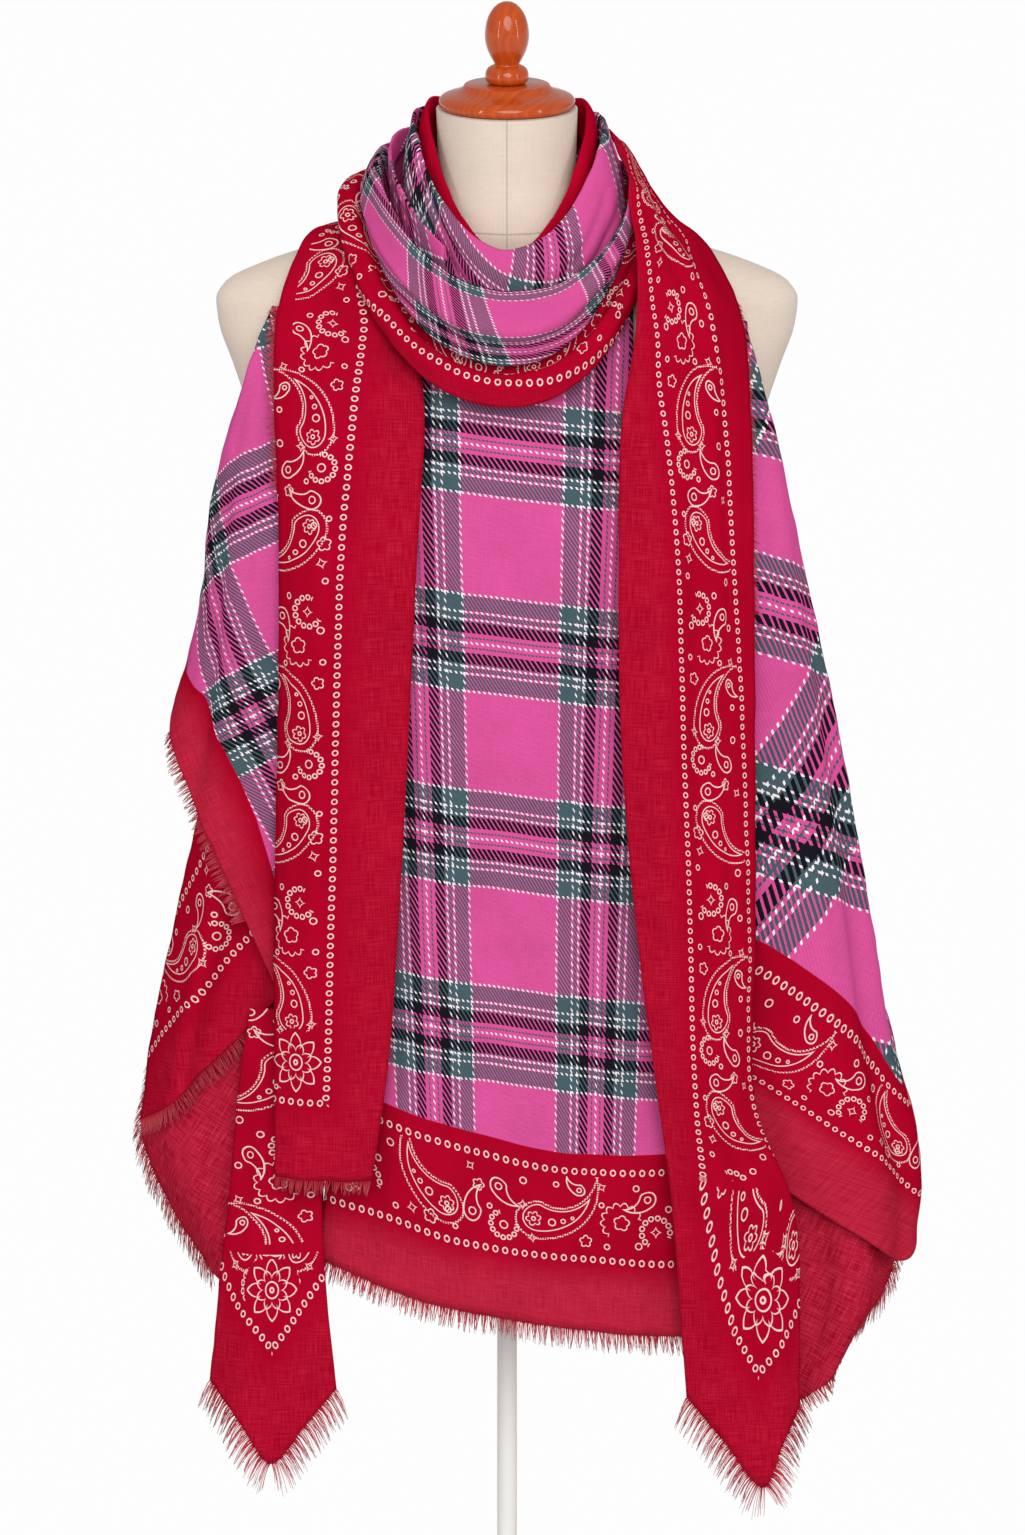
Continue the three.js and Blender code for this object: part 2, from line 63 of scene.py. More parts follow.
def table(names, rows):
    """Rows of numbers as dicts, one for each row, keyed by the column names."""
    keys = names.split()
    return [dict(zip(keys, row)) for row in rows]


STRETCHES = {
    "front_panel": {
        "rows": table(HANGING, [
            (-52, 938, 87, 952, -78, 12, 18, 0.5, 8),
            (-62, 924, 87, 932, -86, 12, 13, 0.5, 4),
            (-70, 910, 87, 911, -93, 14, 9, 0.5, 3),
            (-75, 896, 89, 889, -102, 14, 8, 0.5, 3),
            (-87, 827, 99, 810, -124, 12, 9, 0.5, 5),
            (-98, 709, 111, 683, -131, 10, 9, 0.5, 7),
            (-107, 573, 127, 538, -131, 10, 9, 0.5, 9),
            (-117, 434, 145, 395, -132, 14, 10, 0.5, 12),
            (-132, 286, 166, 233, -134, 20, 10, 0.45, 15),
        ]),
        "facing": 1,
        "folds": table(FOLD, [
            (0.3, 0.02, 0.06, 2.5, 0.1, 1.4),
            (0.62, 0.05, 0.05, -2.5, 0.2, 1.5),
        ]),
        "creases": table(CREASE, [
            (0.36, 0.02, 0.33, 0.45, 9, -2.2),
            (0.45, 0.00, 0.47, 0.30, 7, 2.0),
            (0.70, 0.02, 0.72, 0.55, 10, -2.4),
            (0.82, 0.05, 0.80, 0.35, 7, 1.6),
            (0.22, 0.55, 0.25, 1.05, 12, 2.6),
            (0.45, 0.60, 0.42, 1.05, 14, -2.6),
            (0.62, 0.66, 0.66, 1.05, 11, 2.2),
            (0.86, 0.62, 0.88, 1.05, 12, -2.0),
            (0.10, 0.76, 0.12, 1.05, 10, -3.0),
        ]),
    },
    "left_tail": {
        "rows": table(HANGING, [
            (-80, 999, -117, 994, 30, 0, 0, 0.5, 0),
            (-80, 998.5, -138, 992, -6, 0, 0, 0.5, -1),
            (-79, 988, -151, 971, -42, 0, 2, 0.5, 0),
            (-74, 962, -157, 955, -62, 0, 4, 0.5, 0),
            (-64, 928, -160, 938, -82, 3, 8, 0.5, -2),
            (-57, 892, -160, 901, -112, 4, 14, 0.5, -2),
            (-62, 789, -157, 790, -138, 5, 18, 0.5, 0),
            (-68, 663, -158, 662, -143, 5, 18, 0.5, 0),
            (-75, 535, -161, 535, -144, 5, 16, 0.5, 0),
            (-82, 435, -161, 436, -145, 5, 11, 0.5, 0),
            (-94, 349, -161, 352, -145, 5, 8, 0.5, 0),
        ]),
        "facing": -1,
        "folds": table(FOLD, [(0.6, 0.05, 0.09, 3, 0.15, 0.9)]),
        "creases": table(CREASE, [
            (0.78, 0.20, 0.82, 0.60, 6, -2.6),
            (0.90, 0.24, 0.93, 0.98, 5, 2.4),
            (0.50, 0.16, 0.55, 0.42, 8, -1.8),
            (0.30, 0.20, 0.24, 0.52, 10, 1.6),
            (0.70, 0.55, 0.72, 0.96, 9, 1.8),
            (0.20, 0.60, 0.24, 0.98, 10, -1.8),
            (0.45, 0.72, 0.42, 1.02, 9, 1.6),
        ]),
    },
    "right_tail": {
        "rows": table(HANGING, [
            (60, 1052, 70, 1040, 70, 0, 4, 0.5, 0),
            (71, 1057.5, 80, 1048, 37, 0, 8, 0.5, 0),
            (80.6, 1042, 93, 1033, 4, -10, 14, 0.5, -2),
            (87, 1012, 112, 1009, -44, -4, 36, 0.5, -3),
            (90, 974, 136, 990, -84, -2, 64, 0.5, -4),
            (88, 938, 161, 948, -104, 0, 42, 0.5, -3),
            (79, 883, 168, 882, -124, 4, 18, 0.5, -1),
            (77, 775, 170, 772, -146, 4, 14, 0.5, 0),
            (79, 658, 171, 655, -150, 4, 14, 0.5, 0),
            (90, 526, 172, 522, -151, 4, 14, 0.5, 0),
            (105, 408, 173, 400, -152, 4, 13, 0.5, 0),
            (114, 338, 199, 330, -152.5, 4, 13, 0.56, 12),
            (125, 196, 204, 189, -153, 4, 12, 0.68, 60),
        ]),
        "facing": 1,
        "pointed": True,
        "folds": table(FOLD, [
            (0.55, 0.05, 0.08, 3.5, 0.2, 0.85),
            (0.78, 0.02, 0.06, -3, 0.3, 0.9),
        ]),
        "creases": table(CREASE, [
            (0.30, 0.10, 0.24, 0.34, 5, -2.4),
            (0.52, 0.12, 0.44, 0.36, 5, 2.2),
            (0.70, 0.16, 0.66, 0.40, 6, -2.2),
            (0.18, 0.28, 0.16, 0.55, 8, 1.6),
            (0.88, 0.30, 0.90, 0.80, 6, 2.6),
            (0.36, 0.44, 0.40, 0.80, 9, -1.8),
            (0.20, 0.60, 0.26, 0.98, 10, 2.0),
            (0.62, 0.66, 0.68, 0.98, 9, 2.2),
            (0.44, 0.82, 0.50, 1.00, 8, -2.0),
        ]),
    },
    "left_point": {
        "rows": table(HANGING, [
            (-124, 466, -178, 464, -109, 0, 4, 0.5, 0),
            (-127, 415, -186, 414, -118, 2, 9, 0.5, 0),
            (-129, 335, -193, 335, -125, 3, 12, 0.5, 0),
            (-126, 266, -201, 264, -131, 5, 15, 0.52, 4),
            (-119, 196, -207, 200, -134, 6, 16, 0.52, 55),
        ]),
        "facing": -1,
        "pointed": True,
        "folds": [],
        "creases": table(CREASE, [
            (0.55, 0.05, 0.50, 0.85, 9, 2.6),
            (0.28, 0.20, 0.24, 0.90, 7, -2.0),
            (0.80, 0.10, 0.82, 0.92, 7, -2.2),
        ]),
    },
    "left_flap": {
        "rows": table(HANGING, [
            (-136, 596, -211, 608, -99, 0, 26, 0.5, 4),
            (-139, 560, -221, 564, -99, 0, 34, 0.5, 6),
            (-143, 524, -235, 498, -99, 0, 40, 0.5, 4),
            (-150, 496, -248, 434, -100, 0, 44, 0.5, 0),
            (-160, 469, -256, 371, -100, 0, 45, 0.5, 0),
        ]),
        "facing": -1,
        "folds": table(FOLD, [(0.55, 0, 0.15, -3, 0.2, 1.6)]),
        "creases": table(CREASE, [
            (0.30, 0.10, 0.20, 0.95, 9, 2.4),
            (0.70, 0.05, 0.78, 1.00, 9, 2.8),
            (0.45, 0.30, 0.42, 1.05, 7, -1.8),
        ]),
    },
    "left_under": {
        "rows": table(HANGING, [
            (-136, 505, -244, 432, -88, 0, 40, 0.5, 0),
            (-132, 452, -250, 392, -90, 0, 44, 0.5, 0),
            (-128, 398, -256, 363, -92, 0, 46, 0.5, 0),
            (-128, 328, -243, 323, -94, 0, 40, 0.5, 0),
            (-130, 256, -206, 264, -97, 0, 26, 0.5, 6),
        ]),
        "facing": -1,
        "folds": table(FOLD, [(0.5, -0.1, 0.14, 4, 0, 1.6)]),
        "creases": table(CREASE, [
            (0.25, 0.10, 0.40, 1.00, 8, 2.2),
            (0.60, 0.05, 0.75, 0.90, 8, -2.4),
            (0.85, 0.20, 0.90, 0.80, 6, 1.8),
        ]),
    },
    "right_under": {
        "rows": table(HANGING, [
            (170, 386, 260, 330, -102, 0, 40, 0.5, 0),
            (170, 316, 271, 303, -104, 0, 46, 0.5, 0),
            (170, 250, 268, 258, -106, 0, 46, 0.5, 8),
            (172, 188, 245, 225, -109, 0, 32, 0.45, 22),
        ]),
        "facing": 1,
        "folds": table(FOLD, [(0.55, 0.1, 0.14, 4, 0, 1.6)]),
        "creases": table(CREASE, [
            (0.25, 0.10, 0.35, 1.00, 8, 2.4),
            (0.55, 0.00, 0.62, 0.95, 8, -2.4),
            (0.80, 0.10, 0.84, 0.85, 7, 2.0),
        ]),
    },
}

WINGS = {
    "left_wing": {
        "rows": table(WRAPPED, [
            (-136, 945, -160, 950, -162, 949, -56, -50, -42),
            (-128, 920, -172, 927, -170, 925, -66, -60, -50),
            (-124, 892, -184, 895, -178, 893, -86, -70, -54),
            (-126, 815, -202, 816, -192, 822, -106, -76, -30),
            (-130, 703, -212, 731, -200, 756, -114, -76, -10),
            (-134, 582, -224, 676, -211, 718, -116, -74, 6),
            (-150, 458, -233, 649, -218, 696, -118, -72, 12),
        ]),
        "facing": -1,
        "folds": table(FOLD, [
            (0.3, 0.1, 0.09, 4, 0.15, 1.3),
            (0.55, -0.05, 0.08, -4, 0.2, 1.4),
        ]),
        "creases": table(CREASE, [
            (0.20, 0.08, 0.34, 0.70, 7, -2.4),
            (0.40, 0.10, 0.46, 0.95, 8, 2.6),
            (0.68, 0.15, 0.66, 0.90, 9, -3.0),
            (0.85, 0.20, 0.84, 0.95, 9, 3.0),
        ]),
    },
    "right_wing": {
        "rows": table(WRAPPED, [
            (150, 944, 163, 940, 166, 938, -56, -50, -42),
            (141, 883, 181, 876, 176, 874, -86, -70, -50),
            (141, 787, 200, 780, 191, 788, -112, -76, -28),
            (143, 661, 226, 653, 215, 680, -118, -76, -10),
            (148, 533, 250, 508, 240, 575, -118, -74, 6),
            (157, 436, 267, 402, 247, 506, -118, -74, 12),
            (164, 390, 286, 332, 255, 478, -118, -76, 14),
            (171, 352, 283, 276, 262, 440, -118, -78, 14),
        ]),
        "facing": 1,
        "folds": table(FOLD, [
            (0.35, 0.08, 0.09, 5, 0.15, 1.5),
            (0.58, 0.02, 0.07, -5, 0.3, 1.5),
        ]),
        "creases": table(CREASE, [
            (0.22, 0.10, 0.26, 0.80, 8, -2.6),
            (0.46, 0.12, 0.50, 0.98, 8, 2.8),
            (0.70, 0.10, 0.74, 0.90, 9, 3.0),
            (0.86, 0.25, 0.88, 0.98, 9, -3.0),
            (0.12, 0.50, 0.16, 1.00, 8, 2.2),
        ]),
    },
}

LOOPS = {
    "neck_collar": {
        "rows": table(LOOP, [
            (54, 54, 60, 58, 988, 1050, 1050, 1040),
            (55, 56, 61, 60, 990, 1078, 1076, 1060),
            (60, 61, 64, 64, 978, 1068, 1067, 1052),
            (61, 62, 66, 65, 970, 1042, 1040, 1030),
        ]),
        "creases": table(CREASE, [
            (0.30, 0.70, 0.44, 0.55, 3, -1.0),
            (0.56, 0.50, 0.70, 0.72, 3, -1.0),
        ]),
    },
    "neck_loop_inner": {
        "rows": table(LOOP, [
            (64, 65, 70, 69, 984, 1056, 1052, 1040),
            (65, 67, 72, 71, 994, 1072, 1067, 1052),
            (70, 77, 82, 75, 982, 1050, 1042, 1038),
            (72, 81, 87, 77, 966, 1024, 1020, 1024),
            (73, 82, 89, 77, 956, 1014, 1013, 1014),
        ]),
        "folds": table(FOLD, [
            (0.36, 0.05, 0.03, -4, 0.1, 1.2),
            (0.28, 0.05, 0.03, 4, 0.1, 1.2),
        ]),
        "creases": table(CREASE, [
            (0.30, 0.30, 0.50, 0.72, 4, -3.2),
            (0.33, 0.52, 0.47, 0.90, 4, -3.0),
            (0.36, 0.20, 0.52, 0.50, 4, 2.2),
            (0.52, 0.80, 0.70, 0.45, 4, -2.8),
            (0.55, 0.95, 0.72, 0.70, 4, -2.6),
            (0.08, 0.50, 0.26, 0.42, 5, -2.6),
            (0.76, 0.52, 0.95, 0.55, 5, -2.6),
            (0.80, 0.75, 0.98, 0.72, 4, 2.0),
        ]),
    },
    "neck_loop_twist": {
        "start": -165, "end": -32,
        "rows": table(LOOP, [
            (78, 72, 92, 80, 972, 1036, 1020, 1036),
            (81, 74, 93, 82, 980, 1050, 1030, 1046),
            (81.5, 75, 94, 83, 970, 1036, 1016, 1034),
            (79.8, 74, 93, 82, 954, 1013, 1000, 1020),
        ]),
        "creases": table(CREASE, [
            (0.20, 0.60, 0.95, 0.62, 3, -1.6),
        ]),
    },
    "neck_loop_outer": {
        "fullness": 0.9,
        "rows": table(LOOP, [
            (83.5, 86, 98, 87, 963, 1006, 1023, 1012),
            (90, 88, 101, 91, 971, 1041, 1026, 1032),
            (101, 89, 117, 95, 948, 1024, 1018, 1018),
            (101, 89, 117, 94, 934, 1019, 1014, 1015),
            (99, 87, 112, 93, 921, 1016, 1012, 1011),
        ]),
        "folds": table(FOLD, [
            (0.4, 0, 0.12, -2.5, 0.55, 1),
            (0.6, 0, 0.12, -2.5, 0.55, 1),
        ]),
        "creases": table(CREASE, [
            (0.34, 0.60, 0.52, 0.80, 3.5, -2.6),
            (0.46, 0.72, 0.66, 0.66, 3.5, -2.4),
            (0.40, 0.90, 0.60, 0.92, 3, -2.0),
            (0.58, 0.40, 0.72, 0.62, 5, 2.2),
            (0.30, 0.40, 0.42, 0.52, 6, -2.0),
            (0.04, 0.50, 0.24, 0.55, 5, -2.4),
            (0.78, 0.58, 0.97, 0.50, 5, -2.4),
        ]),
    },
    "neck_border": {
        "fullness": 0.9,
        "rows": table(LOOP, [
            (91, 83, 97, 86, 930, 1013, 1006, 998),
            (98, 91, 106, 90, 911, 1011, 1011, 1002),
            (107, 97, 115, 101, 915, 1017, 1014, 1009),
            (117, 103, 123, 105, 909, 1013, 1009, 1005),
            (117, 104, 123, 104, 894, 1009, 1004, 1000),
        ]),
        "creases": table(CREASE, [
            (0.30, 0.55, 0.44, 0.62, 3, -1.6),
            (0.54, 0.62, 0.68, 0.55, 3, -1.6),
            (0.05, 0.60, 0.24, 0.66, 4, -1.8),
            (0.78, 0.5, 0.96, 0.60, 4, -1.8),
        ]),
    },
}

# The cloth's own edges, in mm: a border is drawn by its distance from them.
HEM = 47            # plain hem between the edge and the outer ring chain
CHAIN_GAP = 64      # from the outer ring chain to the inner one
BORDER = 124        # edge to tartan
CHAIN_PITCH = 6.8
CHAIN_RING = 1.88   # radius of one ring of a chain
CHAIN_LINE = 0.46   # half the width of its line
FLOWER = 19.0       # radius of a corner flower
FLOWER_CLEAR = 22   # radius kept free of other print round it
REPEAT = 30 * CHAIN_PITCH
SETT = 137          # one repeat of the tartan
FAR = 900           # the distance given to an edge that a stretch doesn't reach
BLANK = 3.0 * FAR   # the distance given to a corner flower where all print is left out
NECK_SEAM = 1001    # height of the seam round the linen neck

# The fringe, in mm. Each pair is the least and the most of a random draw.
THREAD = 0.37               # radius of one thread
THREAD_GIRTH = (0.8, 1.25)  # share of that radius
THREAD_REACH = (0.62, 1.12)  # share of the fringe's length
THREAD_TAPER = 0.55         # share of the radius lost at the tip
CLUMP = (3.0, 6.5)          # width of the small clumps that the tips gather into
CLUMP_PULL = (0.35, 0.85)   # share of the way to the clump's middle
LEAN = (0.4, 1.4)           # share of the fringe's lean
SWAY = 0.8                  # bend along the edge
KICK = 1.1                  # bend off the cloth
TUCK = 1.0                  # length of thread inside the cloth's edge

# Where the weave and the printed lines lie on each stretch: shares across and down it, and for the
# weave the place in mm in its repeat.
WARP_MARKS = {
    "front_panel": [
        (0.337, 0.811, 35), (0.342, 0.879, 35), (0.321, 0.622, 35), (0.313, 0.555, 35),
        (0.329, 0.745, 35), (0.581, 0.900, 102), (0.594, 0.802, 102), (0.611, 0.746, 102),
        (0.633, 0.685, 102), (0.648, 0.622, 102), (0.659, 0.556, 102), (0.670, 0.479, 102),
        (0.297, 0.476, 35), (0.815, 0.805, 172), (0.783, 0.896, 172), (0.151, 0.828, -35),
        (0.170, 0.895, -35),
    ],
    "right_wing": [
        (0.564, 0.513, 35), (0.408, 0.540, 35), (0.247, 0.608, 35), (0.889, 0.516, 35),
        (0.459, 0.370, -35), (0.278, 0.439, -35), (0.386, 0.397, -35), (0.728, 0.681, 102),
    ],
    "left_wing": [
        (0.420, 0.564, 35), (0.344, 0.606, 35), (0.255, 0.659, 35), (0.544, 0.784, -35),
        (0.397, 0.811, -35), (0.301, 0.849, -35),
    ],
    "neck_loop_outer": [
        (0.387, 0.747, -35), (0.395, 0.455, -35), (0.399, 0.334, -35), (0.475, 0.388, 35),
        (0.474, 0.498, 35), (0.476, 0.208, 35), (0.598, 0.525, 102), (0.594, 0.380, 102),
        (0.301, 0.375, -102), (0.278, 0.750, -102), (0.244, 0.045, -102), (0.206, 0.196, -172),
    ],
    "neck_loop_inner": [
        (0.601, 0.208, 35), (0.617, 0.505, 35), (0.640, 0.899, 35), (0.487, 0.346, -35),
        (0.497, 0.603, -35), (0.689, 0.208, 102), (0.700, 0.351, 102), (0.812, 0.136, 172),
        (0.186, 0.680, -172), (0.333, 0.250, -172),
    ],
}
WEFT_MARKS = {
    "front_panel": [
        (0.148, 0.809, -239), (0.338, 0.807, -239), (0.590, 0.807, -239), (0.815, 0.806, -239),
        (0.159, 0.868, -309), (0.340, 0.867, -309), (0.579, 0.867, -309), (0.792, 0.865, -309),
        (0.324, 0.685, -102), (0.633, 0.685, -102), (0.325, 0.746, -172), (0.611, 0.746, -172),
        (0.313, 0.555, 35), (0.659, 0.556, 35), (0.321, 0.623, -35), (0.648, 0.622, -35),
        (0.297, 0.476, 102), (0.670, 0.479, 102), (0.474, 0.364, 172),
    ],
    "right_wing": [
        (0.408, 0.540, -35), (0.959, 0.722, -35), (0.597, 0.552, -35), (0.186, 0.442, 35),
        (0.278, 0.446, 35), (0.728, 0.480, 35), (0.221, 0.358, 102), (0.460, 0.369, 102),
        (0.330, 0.362, 102), (0.281, 0.279, 172), (0.728, 0.303, 172), (0.390, 0.187, 239),
        (0.805, 0.201, 239),
    ],
    "left_wing": [
        (0.587, 0.431, 35), (0.300, 0.408, 35), (0.420, 0.564, -35), (0.243, 0.537, -35),
        (0.552, 0.767, -102), (0.258, 0.665, -102), (0.213, 0.658, -102), (0.302, 0.844, -172),
        (0.186, 0.782, -172),
    ],
    "neck_loop_outer": [
        (0.433, 0.583, 35), (0.474, 0.518, 35), (0.535, 0.561, 35), (0.604, 0.826, 35),
        (0.391, 0.752, 35), (0.494, 0.745, 8), (0.428, 0.909, 8), (0.565, 0.856, 8),
        (0.495, 1.0, -35), (0.432, 1.0, -35),
    ],
    "neck_loop_inner": [(0.689, 0.167, -35), (0.602, 0.798, -102), (0.640, 0.961, -102)],
}
CHAINS = {
    "front_panel": [
        (0.042, 0.962), (0.196, 0.958), (0.355, 0.961), (0.485, 0.961), (0.601, 0.960),
        (0.714, 0.959), (0.827, 0.960),
    ],
    "front_panel_inner": [
        (0.131, 0.905), (0.279, 0.906), (0.438, 0.909), (0.541, 0.911), (0.691, 0.910),
        (0.816, 0.909),
    ],
    "right_wing": [
        (0.074, 0.752), (0.220, 0.783), (0.370, 0.814), (0.519, 0.833), (0.65, 0.862),
        (0.783, 0.955), (1, 1),
    ],
    "right_wing_inner": [
        (0.130, 0.614), (0.294, 0.636), (0.436, 0.657), (0.65, 0.70), (0.783, 0.82), (1, 0.87),
    ],
    "left_wing": [
        (0.853, 0.816), (0.553, 0.777), (0.379, 0.822), (0.302, 0.844), (0.219, 0.870),
        (0.140, 0.902),
    ],
    "left_tail": [
        (0.326, 0.356), (0.365, 0.396), (0.469, 0.506), (0.510, 0.547), (0.553, 0.590),
        (0.562, 0.640), (0.564, 0.698), (0.547, 0.764), (0.541, 0.854), (0.530, 0.931),
    ],
    "right_tail": [
        (0.544, 0.128), (0.253, 0.182), (0.222, 0.246), (0.174, 0.373), (0.247, 0.460),
        (0.385, 0.526), (0.444, 0.572), (0.456, 0.606), (0.466, 0.641), (0.471, 0.715),
        (0.410, 0.818), (0.257, 0.907), (0.290, 0.940), (0.374, 0.957), (0.536, 0.966),
    ],
    "right_tail_inner": [
        (0.893, 0.284), (0.831, 0.319), (0.778, 0.355), (0.751, 0.389), (0.703, 0.423),
        (0.764, 0.460), (0.811, 0.502), (0.827, 0.535), (0.850, 0.572), (0.90, 0.64), (0.93, 0.72),
        (0.95, 0.80), (1.0, 0.86), (1.1, 0.92),
    ],
    "right_tail_leg": [(0.536, 0.966), (0.773, 0.966), (0.972, 0.960)],
    "left_point": [(0.963, 0.702), (0.839, 0.766), (0.704, 0.792), (0.481, 0.830)],
    "left_point_leg": [(0.050, 0.720), (0.272, 0.789), (0.481, 0.830)],
    "left_flap": [
        (0.322, 0.421), (0.382, 0.471), (0.575, 0.578), (0.732, 0.668), (0.902, 0.752),
        (0.976, 0.803),
    ],
}
# How far the folded edge of the border loop lies from the cloth's own hem, round the loop.
LOOP_HEM = [
    (0, 66), (0.27, 62), (0.33, 50), (0.38, 34), (0.44, 29), (0.48, 29), (0.511, 30), (0.551, 35),
    (0.6, 42), (0.65, 50), (0.75, 62), (1, 66),
]

# ------------------------------------------------------------------ nets of cloth points


def smooth_line(stops, count):
    """Centripetal Catmull-Rom line through stops, whose first axis is the stop."""
    stops = np.asarray(stops, dtype=float)
    size = len(stops)
    ends = [2 * stops[0] - stops[1], *stops, 2 * stops[-1] - stops[-2]]
    line = []
    for step in range(count + 1):
        place = step / count * (size - 1)
        knot = min(int(place), size - 2)
        share = place - knot
        a, b, c, d = ends[knot:knot + 4]
        pairs = ((a, b), (b, c), (c, d))
        gaps = [np.sum((q - p) ** 2, axis=-1, keepdims=True) ** 0.25 for p, q in pairs]
        gaps[1] = np.where(gaps[1] < 1e-4, 1.0, gaps[1])
        gaps[0] = np.where(gaps[0] < 1e-4, gaps[1], gaps[0])
        gaps[2] = np.where(gaps[2] < 1e-4, gaps[1], gaps[2])
        start = (b - a) / gaps[0] - (c - a) / (gaps[0] + gaps[1]) + (c - b) / gaps[1]
        stop = (c - b) / gaps[1] - (d - b) / (gaps[1] + gaps[2]) + (d - c) / gaps[2]
        start, stop = start * gaps[1], stop * gaps[1]
        line.append(b + share * (start + share * (
            (3 * (c - b) - 2 * start - stop) + share * (2 * (b - c) + start + stop))))
    return np.array(line)


def mix(a, b, share):
    return a + (b - a) * share


def hanging_stops(row, pointed):
    quarter = 0.5 if pointed else 0.75

    def stop(share, back, drop):
        return (mix(row["inner_x"], row["outer_x"], share), row["y"] + back,
                mix(row["inner_z"], row["outer_z"], share) - drop)

    return [
        stop(0, row["inner_back"], 0),
        stop(row["middle"] / 2, 0, row["drop"] * quarter),
        stop(row["middle"], 0, row["drop"]),
        stop((1 + row["middle"]) / 2, 0, row["drop"] * quarter),
        stop(1, row["outer_back"], 0),
    ]


def wrapped_stops(row):
    turn_x = mix(row["inner_x"], row["side_x"], 0.6)
    turn_z = mix(row["inner_z"], row["side_z"], 0.6)
    return [
        (row["inner_x"], row["front_y"], row["inner_z"]),
        (turn_x, row["front_y"] + 5, turn_z),
        (row["side_x"], row["side_y"], row["side_z"]),
        (row["back_x"], row["back_y"], row["back_z"]),
    ]


def loop_points(row, angles, fullness):
    """One level of a loop: an oval round the neck, its height smooth through four values."""
    level = (row["front_z"] + row["back_z"] + row["left_z"] + row["right_z"]) / 4
    pitch = (row["front_z"] - row["back_z"]) / 2
    saddle = (row["front_z"] + row["back_z"] - row["left_z"] - row["right_z"]) / 4
    roll = (row["right_z"] - row["left_z"]) / 2
    sine, cosine = np.sin(angles), np.cos(angles)
    wide = np.where(sine > 0, row["right"], row["left"])
    deep = np.where(cosine > 0, row["front"], row["back"])
    across = np.sign(sine) * np.abs(sine) ** fullness * wide
    depth = np.sign(cosine) * np.abs(cosine) ** fullness * deep
    height = level + pitch * cosine + roll * sine + saddle * np.cos(2 * angles)
    return np.stack([across, -depth, height], axis=-1)


def net_of(stops, across, down):
    """Fills rows of stops into a net of points, (down + 1) rows of (across + 1) points."""
    filled = smooth_line(np.swapaxes(np.array(stops, dtype=float), 0, 1), across)
    return smooth_line(np.swapaxes(filled, 0, 1), down)


def net_normals(net, closed):
    if closed:
        right = np.roll(net, -1, axis=1) - np.roll(net, 1, axis=1)
    else:
        right = np.gradient(net, axis=1)
    down = np.gradient(net, axis=0)
    normals = np.cross(down, right)
    return normals / np.maximum(np.linalg.norm(normals, axis=-1, keepdims=True), 1e-9)


def press_folds(net, folds, facing, closed):
    """The large folds, shared with the solid form."""
    rows, columns = net.shape[:2]
    down = np.linspace(0, 1, rows)[:, None]
    across = (np.arange(columns) / (columns if closed else columns - 1))[None, :]
    lift = np.zeros((rows, columns))
    for fold in folds:
        share = (down - fold["start"]) / (fold["stop"] - fold["start"])
        swell = np.where((share > 0) & (share < 1), np.sin(np.pi * share), 0)
        away = (across - fold["at"] - fold["slant"] * down) / fold["width"]
        lift += fold["depth"] * swell * np.exp(-away * away)
    return net + net_normals(net, closed) * (lift * facing)[..., None]


def press_creases(net, flat, creases, facing, seed):
    """Finer listed creases, then a slight unevenness, both measured on the flat cloth."""
    rows, columns = net.shape[:2]
    lift = np.zeros((rows, columns))

    def spot(a, b):
        i = min(max(b, 0), 1) * (rows - 1)
        j = min(max(a, 0), 1) * (columns - 1)
        return flat[int(round(i)), int(round(j))]

    for crease in creases:
        start = spot(crease["from_a"], crease["from_b"])
        run = spot(crease["to_a"], crease["to_b"]) - start
        length = max(float(np.hypot(*run)), 1e-6)
        along = ((flat - start) @ run) / length
        aside = ((flat - start) @ np.array([-run[1], run[0]])) / length
        share = along / length
        bow = 3.0 * np.sin(3.1 * share + crease["width"])
        taper = np.clip(np.sin(np.pi * np.clip(share, 0, 1)), 0, 1) ** 0.7
        lift += crease["depth"] * taper * np.exp(-((aside - bow) / crease["width"]) ** 2)
    u, v = flat[..., 0], flat[..., 1]
    for turn, (wave, depth) in enumerate(((61, 0.5), (37, 0.35), (23, 0.22))):
        tilt = seed * 1.3 + turn * 2.1
        phase = (u * math.cos(tilt) + v * math.sin(tilt)) * 2 * math.pi / wave
        cross = (v * math.cos(tilt) - u * math.sin(tilt)) * 2 * math.pi / (wave * 1.7)
        lift += depth * np.sin(phase + seed) * np.cos(cross + 2 * turn)
    return net + net_normals(net, False) * (lift * facing)[..., None]


def relax(flat, links, turns):
    """Moves flat points until the lengths between neighbours match those on the cloth."""
    for _ in range(turns):
        push = np.zeros_like(flat)
        count = np.zeros(flat.shape[:2])
        for first, second, length in links:
            gap = flat[second] - flat[first]
            now = np.maximum(np.linalg.norm(gap, axis=-1), 1e-9)
            move = gap * ((now - length) / now / 2)[..., None]
            push[first] += move
            push[second] -= move
            count[first] += 1
            count[second] += 1
        flat = flat + 1.3 * push / np.maximum(count, 1)[..., None]
    return flat


def links_of(net):
    whole, less, more = slice(None), slice(None, -1), slice(1, None)
    pairs = [((whole, less), (whole, more)), ((less, whole), (more, whole)),
             ((less, less), (more, more)), ((less, more), (more, less))]
    return [(a, b, np.linalg.norm(net[b] - net[a], axis=-1)) for a, b in pairs]


def filled_in(known, count, places):
    """Flat points at every step of a line, between the known ones at some of its places."""
    steps = np.arange(count)
    return np.stack([np.interp(steps, places, known[:, k]) for k in range(2)], axis=-1)


